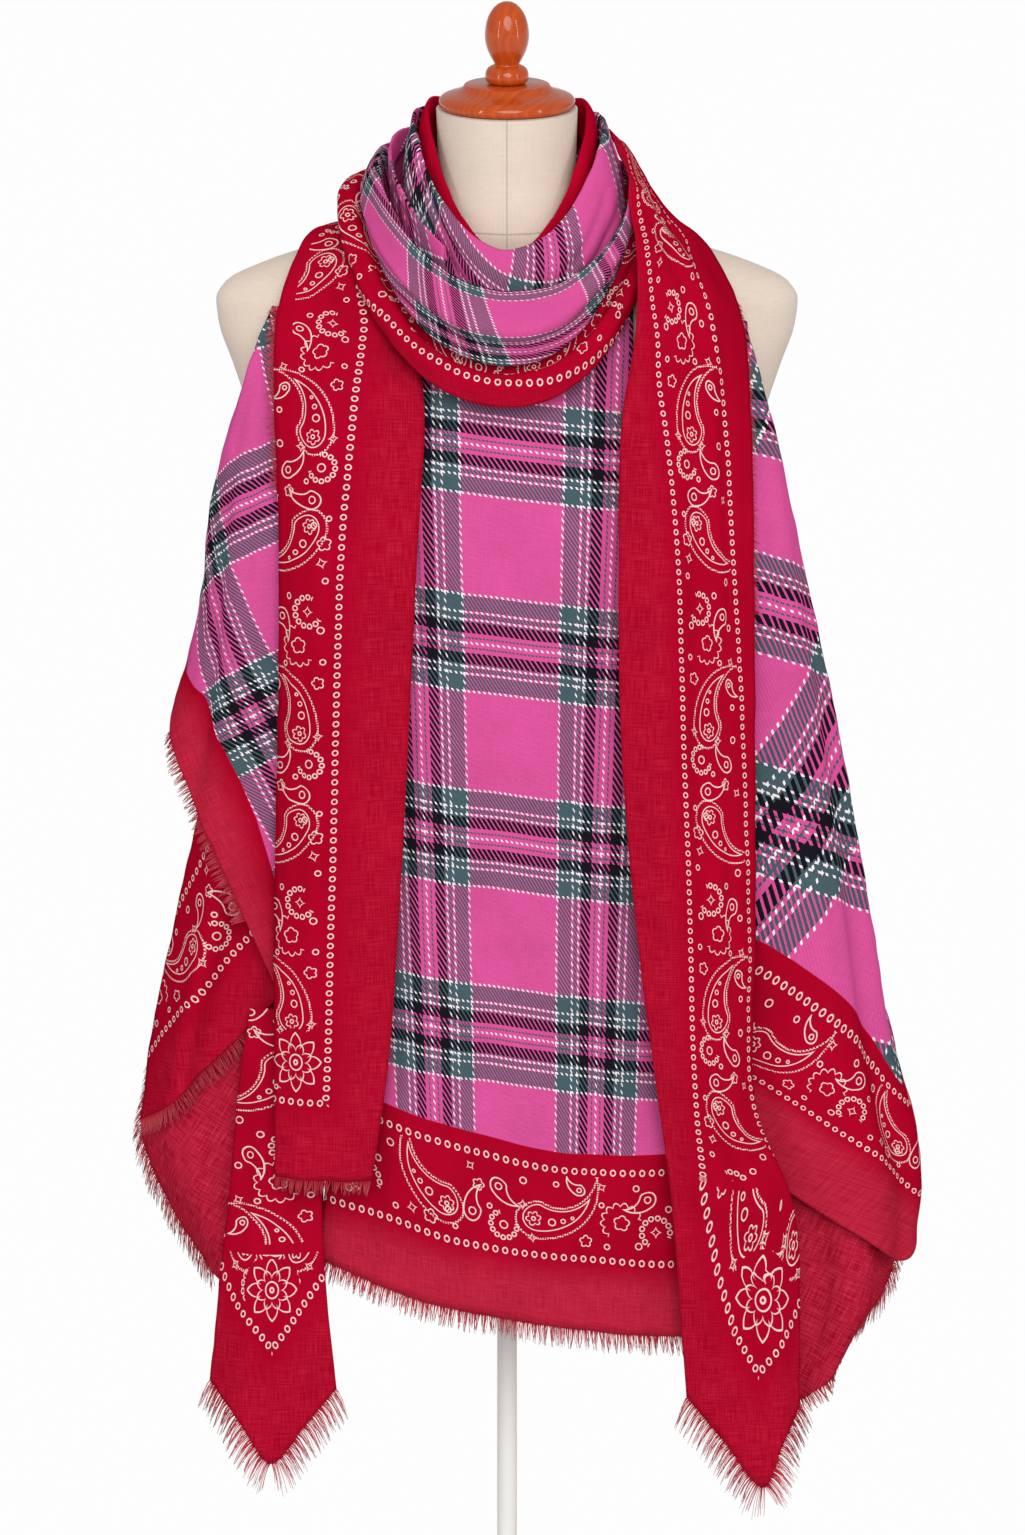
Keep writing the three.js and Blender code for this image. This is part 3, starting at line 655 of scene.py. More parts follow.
def flatten(net, facing):
    """Where each point of the net lies once the cloth is spread flat, in mm."""
    rows, columns = net.shape[:2]
    picked_rows = np.unique(np.linspace(0, rows - 1, 17).astype(int))
    picked_columns = np.unique(np.linspace(0, columns - 1, 13).astype(int))
    coarse = net[np.ix_(picked_rows, picked_columns)]
    middle = coarse.shape[1] // 2
    step = np.linalg.norm(np.diff(coarse[..., :2], axis=1), axis=-1)
    reach = np.concatenate([np.zeros((len(coarse), 1)), np.cumsum(step, axis=1)], axis=1)
    drop = np.linalg.norm(np.diff(coarse[:, middle], axis=0), axis=-1)
    depth = np.concatenate([[0], np.cumsum(drop)])
    start_x = reach + facing * coarse[:, :1, 0]
    start_y = -depth[:, None] + coarse[..., 2] - coarse[:, middle:middle + 1, 2]
    spread = relax(np.stack([start_x, start_y], axis=-1), links_of(coarse), 1500)
    by_row = np.stack([filled_in(line, rows, picked_rows) for line in np.swapaxes(spread, 0, 1)],
                      axis=1)
    fine = np.stack([filled_in(line, columns, picked_columns) for line in by_row])
    return relax(fine, links_of(net), 150)


def flatten_loop(net, closed, repeat):
    """Length round the loop from its front, and length down it. A closed loop's back is eased so
    that a whole number of repeats goes round."""
    steps = np.linalg.norm(np.diff(net, axis=1), axis=-1).mean(axis=0)
    reach = np.concatenate([[0], np.cumsum(steps)])
    front = len(reach) // 2 if closed else 0
    reach = reach - reach[front]
    if closed:
        half = reach[-1]
        wanted = max(round(2 * half / repeat), 1) * repeat / 2
        share = np.clip((np.abs(reach) / half - 0.5) / 0.5, 0, 1)
        reach = reach + np.sign(reach) * (wanted - half) * share
    drop = np.linalg.norm(np.diff(net, axis=0), axis=-1)
    depth = np.concatenate([np.zeros((1, net.shape[1])), np.cumsum(drop, axis=0)], axis=0)
    return np.stack([np.broadcast_to(reach, depth.shape), -depth], axis=-1)


def at_share(flat, a, b):
    """The flat point at shares across and down, which may lie a little outside the net."""
    rows, columns = flat.shape[:2]
    i, j = np.clip(b, 0, 1) * (rows - 1), np.clip(a, 0, 1) * (columns - 1)
    i0, j0 = min(int(i), rows - 2), min(int(j), columns - 2)
    di, dj = i - i0, j - j0
    corners = flat[i0:i0 + 2, j0:j0 + 2]
    point = ((corners[0, 0] * (1 - dj) + corners[0, 1] * dj) * (1 - di)
             + (corners[1, 0] * (1 - dj) + corners[1, 1] * dj) * di)
    point = point + (corners[0, 1] - corners[0, 0]) * (a - np.clip(a, 0, 1)) * (columns - 1)
    return point + (corners[1, 0] - corners[0, 0]) * (b - np.clip(b, 0, 1)) * (rows - 1)


def fitted(flat, marks, bend=0.05):
    """A value that runs smoothly over the flat cloth through marks of (across, down, value)."""
    centre, size = flat.reshape(-1, 2).mean(axis=0), 250.0

    def terms(points):
        x, y = np.moveaxis((points - centre) / size, -1, 0)
        return np.stack([np.ones_like(x), x, y, x * x, x * y, y * y], axis=-1)

    places = np.array([at_share(flat, a, b) for a, b, _ in marks])
    values = np.array([value for _, _, value in marks], dtype=float)
    stiff = np.diag([0, 0, 0, 1, 1, 1]) * bend
    known = terms(places)
    found = np.linalg.solve(known.T @ known + stiff, known.T @ values)
    return terms(flat) @ found


def signed_distance(flat, path, inside):
    """Distance on the flat cloth from a path of shares, positive on the side of `inside`."""
    line = [at_share(flat, a, b) for a, b in path]

    def beyond(end, before):
        return end + (end - before) / np.linalg.norm(end - before) * FAR

    line = [beyond(line[0], line[1]), *line, beyond(line[-1], line[-2])]

    def measure(points):
        best = np.full(points.shape[:-1], 1e9)
        sign = np.ones(points.shape[:-1])
        for start, stop in zip(line, line[1:]):
            run = stop - start
            share = np.clip(((points - start) @ run) / float(run @ run), 0, 1)
            gap = points - start - share[..., None] * run
            reach = np.linalg.norm(gap, axis=-1)
            side = np.sign(run[0] * gap[..., 1] - run[1] * gap[..., 0])
            sign = np.where(reach < best - 1e-6, side, sign)
            best = np.minimum(best, reach)
        return best * sign

    flip = float(measure(at_share(flat, *inside)[None, :])[0])
    return measure(flat) * (1 if flip > 0 else -1)


def eased_row(shares, path, along):
    """Where a path of (across, down) shares crosses each share, without its corners."""
    steps, values = (1, 0) if along == "down" else (0, 1)
    stops = sorted((mark[steps], mark[values]) for mark in path)
    line = np.interp(shares, [stop[0] for stop in stops], [stop[1] for stop in stops])
    padded = np.pad(line, 4, mode="edge")
    return np.convolve(padded, np.ones(9) / 9, mode="valid")


def shares_down(flat):
    return np.linspace(0, 1, len(flat))[:, None]


def reach_across(flat):
    """Length along each row of the net from its first point."""
    steps = np.linalg.norm(np.diff(flat, axis=1), axis=-1)
    return np.concatenate([np.zeros((len(flat), 1)), np.cumsum(steps, axis=1)], axis=1)


def beside_path(flat, path, second=None):
    """Distance across each row from a path down the net. A second path lies CHAIN_GAP on."""
    rows, columns = flat.shape[:2]
    down, across = np.linspace(0, 1, rows), np.linspace(0, 1, columns)
    reach = reach_across(flat)

    def crossing(line):
        shares = eased_row(down, line, "down")
        inside = np.clip(shares, 0, 1)
        found = np.array([np.interp(share, across, row) for share, row in zip(inside, reach)])
        return found + (shares - inside) * reach[:, -1]

    first = crossing(path)[:, None]
    if second is None:
        return reach - first
    return (reach - first) * CHAIN_GAP / (crossing(second)[:, None] - first)


def above_path(flat, path, second):
    """Distance up each column from a path that runs across the net to a second one CHAIN_GAP on."""
    rows, columns = flat.shape[:2]
    down, across = np.linspace(0, 1, rows), np.linspace(0, 1, columns)
    first = eased_row(across, path, "across")[None, :]
    gap = first - eased_row(across, second, "across")[None, :]
    return (first - down[:, None]) / gap * CHAIN_GAP


def length_up(flat, path, start):
    """Length along a path that runs down the net, counted up from a share down it."""
    rows, columns = flat.shape[:2]
    down = np.linspace(0, 1, rows)
    shares = np.clip(eased_row(down, path, "down"), 0, 1)
    line = np.array([[np.interp(share, np.linspace(0, 1, columns), row[:, k]) for k in range(2)]
                     for share, row in zip(shares, flat)])
    length = np.concatenate([[0], np.cumsum(np.linalg.norm(np.diff(line, axis=0), axis=-1))])
    return np.broadcast_to((np.interp(start, down, length) - length)[:, None], (rows, columns))


def along_path(flat, path):
    """Place along the direction in which a path runs, for a strip that has no corner."""
    run = at_share(flat, *path[-1]) - at_share(flat, *path[0])
    return FAR + flat @ (run / np.linalg.norm(run))


def passed(value, start, stop):
    """0 before start, 1 after stop, eased between."""
    share = np.clip((value - start) / (stop - start), 0, 1)
    return share * share * (3 - 2 * share)


def weave_map(name, flat):
    """The place in the tartan's repeat of each point of a stretch."""
    return np.stack([fitted(flat, WARP_MARKS[name]), fitted(flat, WEFT_MARKS[name])], axis=-1)


def loop_weave_map(name, flat):
    """As weave_map at the front of a loop, eased into whole repeats at its back."""
    found = weave_map(name, flat)
    away = np.abs(np.linspace(-1, 1, flat.shape[1]))[None, :, None]
    middle = slice(int(flat.shape[1] * 0.4), int(flat.shape[1] * 0.6))
    plain = flat + (found - flat)[:, middle].mean(axis=(0, 1))
    return mix(found, plain, passed(away, 0.45, 0.8))


def flower_map(flat, place, wide, tall):
    """Distances from a corner flower's centre, scaled so that it spans wide by tall mm."""
    away = flat - at_share(flat, *place)
    return away * np.array([2 * FLOWER / wide, 2 * FLOWER / tall])


def blank_between(flower, part, where):
    """Leave the print out, where asked, in the cells that join two parts with different layouts."""
    seam = np.zeros(part.shape, bool)
    seam[:-1] |= part[1:] != part[:-1]
    seam[1:] |= part[1:] != part[:-1]
    return np.where((seam & where)[..., None], BLANK, flower)


def turned_map(flat, degrees):
    angle = math.radians(degrees)
    spin = np.array([[math.cos(angle), -math.sin(angle)], [math.sin(angle), math.cos(angle)]])
    return flat @ spin


def cloth_maps(flat, weave, side, hem, flower=None):
    """The maps that every cloth finish reads. A stretch with no side edge has side None."""
    if side is None:
        side = FAR + flat[..., 0]
    if flower is None:
        flower = np.full(flat.shape, float(FAR))
    return {"weave": weave, "edge": np.stack([side, hem], axis=-1), "flower": flower}


# ------------------------------------------------------------------ shader arithmetic


class Wire:
    """A number in a material's node tree, so that shading reads as arithmetic."""

    def __init__(self, finish, socket):
        self.finish = finish
        self.socket = socket

    def math(self, operation, *others):
        values = [self, *others]
        return self.finish.node("ShaderNodeMath", {"operation": operation}, dict(enumerate(values)))

    def __add__(self, other):
        return self.math("ADD", other)

    __radd__ = __add__

    def __sub__(self, other):
        return self.math("SUBTRACT", other)

    def __rsub__(self, other):
        return self.finish.node("ShaderNodeMath", {"operation": "SUBTRACT"}, {0: other, 1: self})

    def __mul__(self, other):
        return self.math("MULTIPLY", other)

    __rmul__ = __mul__

    def __truediv__(self, other):
        return self.math("DIVIDE", other)

    def __neg__(self):
        return self.math("MULTIPLY", -1)

    def __abs__(self):
        return self.math("ABSOLUTE")

    def __pow__(self, power):
        return self.math("POWER", power)

    def __lt__(self, other):
        return self.math("LESS_THAN", other)

    def __gt__(self, other):
        return self.math("GREATER_THAN", other)

    def __or__(self, other):
        return self.math("MAXIMUM", other)

    def __and__(self, other):
        return self.math("MINIMUM", other)


class Finish:
    """A material under construction: one principled surface and the nodes that feed it."""

    def __init__(self, name, **constants):
        self.material = bpy.data.materials.new(name)
        self.material.use_nodes = True
        self.tree = self.material.node_tree
        self.surface = self.tree.nodes["Principled BSDF"]
        for key, value in constants.items():
            socket = key.replace("_", " ").title().replace("Ior", "IOR")
            self.surface.inputs[socket].default_value = value

    def node(self, kind, settings, inputs, output=0):
        made = self.tree.nodes.new(kind)
        for name, value in settings.items():
            if name == "stops":
                self._stops(made.color_ramp, value)
            else:
                setattr(made, name, value)
        for key, value in inputs.items():
            if isinstance(value, Wire):
                self.tree.links.new(value.socket, made.inputs[key])
            else:
                made.inputs[key].default_value = value
        return Wire(self, made.outputs[output])

    @staticmethod
    def _stops(ramp, stops):
        ramp.interpolation = "CONSTANT"
        while len(ramp.elements) < len(stops):
            ramp.elements.new(1.0)
        for element, (place, colour) in zip(ramp.elements, stops):
            element.position = place
            element.color = colour

    def feed(self, socket, wire):
        self.tree.links.new(wire.socket, self.surface.inputs[socket])

    def blend(self, share, first, second):
        """Colour `first` where share is 0, `second` where it is 1."""
        return self.node("ShaderNodeMix", {"data_type": "RGBA"}, {0: share, 6: first, 7: second}, 2)

    def shade(self, share, colour):
        """Colour times a number."""
        grey = self.node("ShaderNodeCombineColor", {}, {0: share, 1: share, 2: share})
        return self.node("ShaderNodeMix", {"data_type": "RGBA", "blend_type": "MULTIPLY"},
                         {0: 1.0, 6: colour, 7: grey}, 2)

    def split(self, vector, count):
        """The first values of a vector, in mm."""
        parts = self.tree.nodes.new("ShaderNodeSeparateXYZ")
        self.tree.links.new(vector.socket, parts.inputs[0])
        return [Wire(self, parts.outputs[k]) * 1000 for k in range(count)]

    def map_of(self, layer):
        """The two values of a UV layer."""
        return self.split(self.node("ShaderNodeUVMap", {"uv_map": layer}, {}), 2)

    def object_place(self):
        """Where a point lies on the piece, before it is moved."""
        return self.split(self.node("ShaderNodeTexCoord", {}, {}, 3), 3)

    def noise(self, vector, scale, detail):
        inputs = {"Vector": vector, "Scale": scale, "Detail": detail}
        return self.node("ShaderNodeTexNoise", {}, inputs)

    def vector(self, x, y, z=0.0):
        return self.node("ShaderNodeCombineXYZ", {}, {0: x, 1: y, 2: z})

    def bump(self, height, distance, strength):
        inputs = {"Height": height, "Distance": distance, "Strength": strength}
        return self.node("ShaderNodeBump", {}, inputs)


def near(gap, half):
    """1 within half of zero."""
    return abs(gap) < half


def clamped(value):
    return (value | 0.0) & 1.0


def length_of(x, y):
    return (x * x + y * y) ** 0.5


def turned_to(x, y, degrees):
    cosine, sine = math.cos(math.radians(degrees)), math.sin(math.radians(degrees))
    return x * cosine + y * sine, y * cosine - x * sine


def wave(value, pitch):
    return (value * (2 * math.pi / pitch)).math("SINE")


# ------------------------------------------------------------------ the printed motifs


def teardrop(side, along, head, tail):
    """Distance from the outline of a drop: round head at the origin, tip `tail` along."""
    side = abs(side)
    slope = head / tail
    rise = math.sqrt(1 - slope * slope)
    low = (along * rise - side * slope) < 0
    ball = length_of(side, along) - head
    flank = side * rise + along * slope - head
    return low * ball + (1 - low) * flank


def bent(x, y, radius):
    """x and y measured across and along an arc that leaves the origin upwards and bends to +x."""
    return radius - length_of(x - radius, y), y.math("ARCTAN2", radius - x) * radius


def ring(x, y, radius, line):
    return near(length_of(x, y) - radius, line / 2)


def star(x, y, size, line):
    reach = abs(x) ** 0.62 + abs(y) ** 0.62
    return near(reach - size ** 0.62, line)


def blossom(x, y, radius, petals, depth, line):
    angle = y.math("ARCTAN2", x)
    edge = abs((angle * (petals / 2)).math("COSINE")) * depth + (radius - depth)
    return near(length_of(x, y) - edge, line / 2)


def scallops(x, y, radius, count, opening, line):
    """An arc of small scallops, open below."""
    angle = x.math("ARCTAN2", y)
    edge = abs((angle * count).math("SINE")) * 2.6 + radius
    return near(length_of(x, y) - edge, line / 2) * near(angle, opening)


MOTIF = "kind a b turn size flip"
MOTIFS = table(MOTIF, [
    ("paisley", 30, 3, 78, 1.0, 1),
    ("ring", 4, 20, 0, 2.3, 1),
    ("ring", 8, -22, 0, 1.8, 1),
    ("star", 20, -19, 20, 3.6, 1),
    ("blossom", 33, -20, 10, 4.6, 1),
    ("ring", 45, -12, 0, 2.0, 1),
    ("star", 60, 22, 40, 3.2, 1),
    ("drop", 62, -9, 20, 1.1, 1),
    ("ring", 50, -22, 0, 1.6, 1),
    ("drop", 80, 12, 196, 1.0, -1),
    ("ring", 74, -3, 0, 1.6, 1),
    ("beads", 84, -14, 150, 9, 1),
    ("ring", 84, -14, 0, 2.6, 1),
    ("blossom", 66, 10, 0, 4.0, 1),
    ("star", 97, 3, 0, 3.4, 1),
    ("paisley", 122, -2, -104, 1.0, -1),
    ("ring", 97, 20, 0, 2.2, 1),
    ("star", 104, -20, 10, 3.2, 1),
    ("drop", 136, 18, 80, 0.7, 1),
    ("ring", 120, 21, 0, 1.8, 1),
    ("blossom", 141, -19, 20, 4.2, 1),
    ("ring", 152, 8, 0, 1.7, 1),
    ("scallops", 166, -4, 30, 12, 1),
    ("blossom", 166, -4, 10, 5.4, 1),
    ("star", 152, 21, 30, 3.2, 1),
    ("ring", 156, -22, 0, 1.8, 1),
    ("drop", 184, 13, 150, 1.0, 1),
    ("ring", 176, 21, 0, 2.0, 1),
    ("beads", 190, -10, 20, 10, 1),
    ("star", 190, -10, 0, 3.8, 1),
    ("ring", 199, 6, 0, 2.0, 1),
    ("ring", 178, -20, 0, 2.2, 1),
])


def paisley(x, y, flip, dots):
    """A long bent drop with a dotted outline: an inner drop, a small flower and trailing rings."""
    across, along = bent(x * flip + 8, y + 14, 34)
    outer = near(teardrop(across, along, 13.5, 62), 0.62) * dots
    inner = near(teardrop(across - 1.6, along, 9.6, 45), 0.36)
    drawn = outer | inner | blossom(across, along + 2, 5.2, 6, 1.8, 0.8)
    rings = ((-2, 1.3, 0.8), (11, 2.4, 0.8), (19, 1.5, 0.7), (26, 1.0, 0.7), (65, 2.0, 0.8))
    for place, radius, line in rings:
        drawn = drawn | ring(across, along - place, radius, line)
    return drawn


def small_drop(x, y, size, flip):
    across, along = bent(x * flip, y, 15 * size)
    outline = near(teardrop(across, along, 5.6 * size, 19 * size), 0.45)
    return outline | ring(across, along, 2.2 * size, 0.8)


def bead_arc(x, y, radius, count, opening):
    """Part of a circle of small rings."""
    angle = x.math("ARCTAN2", y)
    pitch = 2 * math.pi / count
    step = ((angle / pitch + 50.5).math("FRACT") - 0.5) * pitch * radius
    away = length_of(step, length_of(x, y) - radius)
    return near(away - radius * pitch * 0.34, 0.42) * near(angle, opening)


def motif_row(along, across):
    """All the motifs of one repeat of the border. across is 0 in its middle."""
    spot = along.math("FLOORED_MODULO", REPEAT)
    dots = (wave(spot + across, 3.4) * wave(spot - across, 3.4)) > 0.0
    drawn = None
    for motif in MOTIFS:
        x, y = spot - motif["a"], across - motif["b"]
        if motif["turn"]:
            x, y = turned_to(x, y, motif["turn"])
        if motif["kind"] == "paisley":
            mark = paisley(x, y, motif["flip"], dots)
        elif motif["kind"] == "drop":
            mark = small_drop(x, y, motif["size"], motif["flip"])
        elif motif["kind"] == "ring":
            mark = ring(x, y, motif["size"], 0.8)
        elif motif["kind"] == "star":
            mark = star(x, y, motif["size"], 0.24)
        elif motif["kind"] == "blossom":
            mark = blossom(x, y, motif["size"], 5, 1.4, 0.8)
        elif motif["kind"] == "beads":
            mark = bead_arc(x, y, motif["size"], 13, 2.3)
        else:
            mark = scallops(x, y, motif["size"], 7, 1.9, 0.85)
        drawn = mark if drawn is None else drawn | mark
    return drawn


def corner_flower(x, y):
    """Two rows of leaf-shaped petals round an eye."""
    drawn = None
    for radius, depth, turn, line in ((FLOWER, 9.5, 0, 0.62), (12.5, 5.5, 22.5, 0.5)):
        side, up = turned_to(x, y, turn) if turn else (x, y)
        share = side.math("ARCTAN2", up) * (8 / (2 * math.pi))
        petal = (abs((share + 8).math("FRACT") - 0.5) * 2) ** 0.55
        mark = near(length_of(x, y) - (petal * depth + (radius - depth)), line)
        drawn = mark if drawn is None else drawn | mark
    return drawn | ring(x, y, 5.0, 0.9) | ring(x, y, 1.4, 1.1)


def ring_chain(along, across):
    """Small rings in a row, across is 0 on its line."""
    step = ((along / CHAIN_PITCH).math("FRACT") - 0.5) * CHAIN_PITCH
    return near(length_of(step * 1.12, across * 0.94) - CHAIN_RING, CHAIN_LINE)


def border_print(side, hem, flower):
    """The border's print, from the distances to the cloth's side edge and to its hem."""
    nearest = side & hem
    along = side | hem
    clear = (nearest > HEM - 3) * (along > HEM - 3)
    inner = HEM + CHAIN_GAP
    outer_chain = ring_chain(along, nearest - HEM) * clear
    inner_chain = ring_chain(along, nearest - inner) * (along > inner - 3)
    middle = nearest - (HEM + CHAIN_GAP / 2)
    strip = motif_row(along, middle) * near(middle, CHAIN_GAP / 2 - 4) * (along > HEM + 5)
    strip = strip * (length_of(*flower) > FLOWER_CLEAR)
    printed = (outer_chain | inner_chain | strip) * (flower[0] < 2 * FAR)
    return printed | corner_flower(*flower)


# ------------------------------------------------------------------ finishes

# The last number of a yarn's colour is 1 where the twill is coarse.
SLATE = (0.062, 0.105, 0.122, 0)
BLACK = (0.010, 0.009, 0.013, 1)
WHITE = (0.90, 0.80, 0.84, 1)


def rgba(colour):
    return (*colour[:3], 1.0)


def sett_stops(pink):
    """Half of the tartan's band, from its middle out, as ramp stops over half a repeat."""
    half = SETT / 2
    threads = [
        (0.7, WHITE), (2.2, pink), (1.2, SLATE), (2.8, pink), (7.4, BLACK), (1.2, SLATE),
        (1.5, WHITE), (3.6, SLATE), (1.5, WHITE), (10.6, SLATE), (1.6, WHITE), (1, pink),
    ]
    place, stops = 0.0, []
    for width, colour in threads:
        stops.append((place / half, colour))
        place += width
    return stops


def stripe(finish, value, pink):
    """The yarn's colour across one set of threads, and how coarse its twill is."""
    fold = abs((value / SETT).math("FRACT") - 0.5) * 2
    colour = finish.node("ShaderNodeValToRGB", {"stops": sett_stops((*pink[:3], 0))}, {0: 1 - fold})
    return colour, Wire(finish, colour.socket.node.outputs["Alpha"])


def cloth_finish(props, name, centre, sheer, border):
    """Shawl cloth. centre is what lies inside the border: tartan or plain."""
    finish = Finish(name, specular_ior_level=0.0)
    u, v = finish.map_of("weave")
    side, hem = finish.map_of("edge")
    spot = finish.vector(u, v)
    cloudy = finish.noise(spot, 0.018, 3.0)
    fuzz = finish.noise(spot, 0.9, 2.0)
    slub = finish.noise(finish.vector(u * 0.06, v * 1.2), 1.0, 1.0)
    slub_v = finish.noise(finish.vector(u * 1.2, v * 0.06), 1.0, 1.0)
    # The second red is the open hem weave, lighter with painted backdrop light showing through it.
    red, lit_through = rgba(props.red), rgba(props.backlit_red)
    edge = side & hem
    threads = wave(u, 1.5) * wave(v, 1.5)
    lines = (slub - 0.5) + (slub_v - 0.5)
    clouds = (cloudy - 0.5) * 0.3
    # A sheer stretch is drawn mostly in that lighter red: painted light through its open weave.
    if sheer:
        colour = finish.blend(clamped(lines * 1.6 + threads * 0.2 + 0.45), red, lit_through)
        colour = finish.shade(clouds + lines * 0.5 + 1.0, colour)
    else:
        # Elsewhere the band near the hem gets the same painted light through its open weave, more
        # strongly on the tartan stretches.
        open_lit_hem = clamped(((HEM - 2) - edge) * 0.05)
        lit_through_share = 0.5 if centre == "tartan" else 0.12
        colour = finish.blend(open_lit_hem * clamped(lines * 0.6 + lit_through_share), red, lit_through)
        tone = clouds + lines * (open_lit_hem * 0.2 + 0.1) + threads * 0.04 + 1.0
        colour = finish.shade(tone, colour)
    height = threads * 0.4 + (slub + slub_v) * 1.2
    if border:
        flower = finish.map_of("flower")
        inked = border_print(side, hem, flower) * (0.8 + fuzz * 0.35)
        colour = finish.blend(clamped(inked), colour, rgba(props.print))
    if centre == "tartan":
        pink = rgba(props.pink)
        warp, warp_coarse = stripe(finish, u, pink)
        weft, weft_coarse = stripe(finish, v, pink)
        rise = u + v * 0.72 + (fuzz - 0.5) * 0.5
        coarse = warp_coarse | weft_coarse
        twill = (rise / (coarse * 1.2 + 2.7)).math("FRACT")
        woven = finish.blend(twill < 0.38, warp, weft)
        dark = finish.node("ShaderNodeMix", {"data_type": "RGBA", "blend_type": "DARKEN"},
                           {0: 1.0, 6: warp, 7: weft}, 2)
        woven = finish.blend(twill > 0.70, woven, dark)
        ribs = wave(rise, 1.7)
        tone = clouds + lines * 0.2 + (fuzz - 0.5) * 0.16 + ribs * 0.05 + 1.0
        woven = finish.shade(tone, woven)
        inside = edge > (BORDER if border else HEM)
        colour = finish.blend(inside, colour, woven)
        height = height + inside * ribs * 0.7
    finish.feed("Base Color", colour)
    finish.feed("Roughness", fuzz * 0.12 + 0.8)
    finish.feed("Normal", finish.bump(height + fuzz * 0.8, 0.0002, 0.55))
    return finish.material


def fringe_finish(props):
    finish = Finish("red_threads", specular_ior_level=0.0, roughness=0.9)
    along, which = finish.map_of("thread")
    shade = finish.noise(finish.vector(which * 3.1, along * 0.2), 1.0, 1.0)
    # The threads turn lighter towards their tips: painted backdrop light showing through the
    # tapered ends.
    colour = finish.blend((along * 0.001) & 1.0, rgba(props.red), rgba(props.backlit_tip))
    finish.feed("Base Color", finish.shade((shade - 0.5) * 0.7 + 1.0, colour))
    return finish.material


def linen_finish(props):
    finish = Finish("plain_linen", sheen_weight=0.15, specular_ior_level=0.2)
    x, y, z = finish.object_place()
    place = finish.vector(x, y, z)
    warp = finish.noise(finish.vector(x * 2.2, y * 2.2, z * 0.09), 1.0, 2.0)
    weft = finish.noise(finish.vector(x * 0.09, y * 0.09, z * 2.2), 1.0, 2.0)
    cloudy = finish.noise(place, 0.01, 3.0)
    weave = wave(x, 1.3) * wave(z, 1.3)
    seam = near(x, 0.55) * (y < 0) | near(z - NECK_SEAM - abs(x) * 0.02, 0.6)
    stitch = near(abs(x) - 2.6, 0.3) * (y < 0) * (wave(z, 3.6) > -0.2)
    tone = ((warp - 0.5) * 0.2 + (weft - 0.5) * 0.2 + (cloudy - 0.5) * 0.1 + weave * 0.02 + 1.0
            - seam * 0.28 - stitch * 0.07)
    finish.feed("Base Color", finish.shade(tone, rgba(props.linen)))
    finish.feed("Roughness", warp * 0.1 + 0.8)
    finish.feed("Normal", finish.bump(warp + weft + weave * 0.3 - seam * 2.5 + stitch, 0.0003, 0.6))
    return finish.material


def wood_finish(props):
    finish = Finish("polished_cherry", coat_roughness=0.05, specular_ior_level=0.1)
    x, y, z = finish.object_place()
    sway = finish.noise(finish.vector(x * 0.02, y * 0.02, z * 0.02), 1.0, 2.0)
    rings = length_of(x + 60 + sway * 26, y - 24)
    grain = finish.noise(finish.vector(rings * 0.55, z * 0.03, rings * 0.2), 1.0, 4.0)
    pores = finish.noise(finish.vector(x * 2.2, y * 2.2, z * 0.07), 1.0, 2.0)
    lines = (wave(rings, 5.2) * 0.5 + 0.5) ** 2.0
    colour = finish.blend(grain * 0.75 + lines * 0.25, rgba(props.wood_dark), rgba(props.wood))
    finish.feed("Base Color", finish.shade((pores - 0.5) * 0.25 + 1.0, colour))
    finish.feed("Roughness", pores * 0.12 + 0.2)
    finish.feed("Coat Weight", pores * 0.1 + 0.55)
    finish.feed("Normal", finish.bump(pores + grain, 0.00006, 0.25))
    return finish.material


def paint_finish(props):
    finish = Finish("off_white_paint", specular_ior_level=0.4)
    x, y, z = finish.object_place()
    place = finish.vector(x, y, z)
    orange = finish.noise(place, 0.35, 2.0)
    cloudy = finish.noise(place, 0.02, 3.0)
    finish.feed("Base Color", finish.shade((cloudy - 0.5) * 0.06 + 1.0, rgba(props.paint)))
    finish.feed("Roughness", cloudy * 0.16 + 0.34)
    finish.feed("Normal", finish.bump(orange, 0.00008, 0.3))
    return finish.material


# For each cloth: its material's name, what lies inside its border, and if it is sheer and bordered.
CLOTHS = {
    "tartan": ("tartan_and_border", "tartan", False, True),
    "tartan_hem": ("tartan_and_plain_hem", "tartan", False, False),
    "tartan_only": ("tartan_middle", "tartan", False, False),
    "print": ("paisley_border", "plain", False, True),
    "plain": ("plain_red", "plain", False, False),
    "sheer": ("sheer_hem", "plain", True, False),
}
OTHER_FINISHES = {
    "fringe": fringe_finish, "linen": linen_finish, "wood": wood_finish, "paint": paint_finish,
}
_made = {}


def finish_named(name):
    """Each finish is made once, with the sizes and colours set in the panel."""
    if name not in _made:
        props = bpy.context.scene.shawl_looks
        if name in CLOTHS:
            _made[name] = cloth_finish(props, *CLOTHS[name])
        else:
            _made[name] = OTHER_FINISHES[name](props)
    return _made[name]


# ------------------------------------------------------------------ cloth pieces


def mesh_piece(name, points, faces, maps, finish):
    """A new object from points in mm. maps holds one value for each point, by UV layer name."""
    mesh = bpy.data.meshes.new(name)
    mesh.from_pydata([tuple(p) for p in np.asarray(points) * MM], [], faces)
    loops = np.empty(len(mesh.loops), dtype=np.int32)
    mesh.loops.foreach_get("vertex_index", loops)
    for layer, values in maps.items():
        uv = mesh.uv_layers.new(name=layer)
        uv.data.foreach_set("uv", (np.asarray(values)[loops] * MM).ravel())
    mesh.shade_smooth()
    mesh.materials.append(finish_named(finish))
    piece = bpy.data.objects.new(name, mesh)
    bpy.context.scene.collection.objects.link(piece)
    return piece


def net_faces(rows, columns):
    starts = [i * columns + j for i in range(rows - 1) for j in range(columns - 1)]
    return [(k, k + columns, k + columns + 1, k + 1) for k in starts]


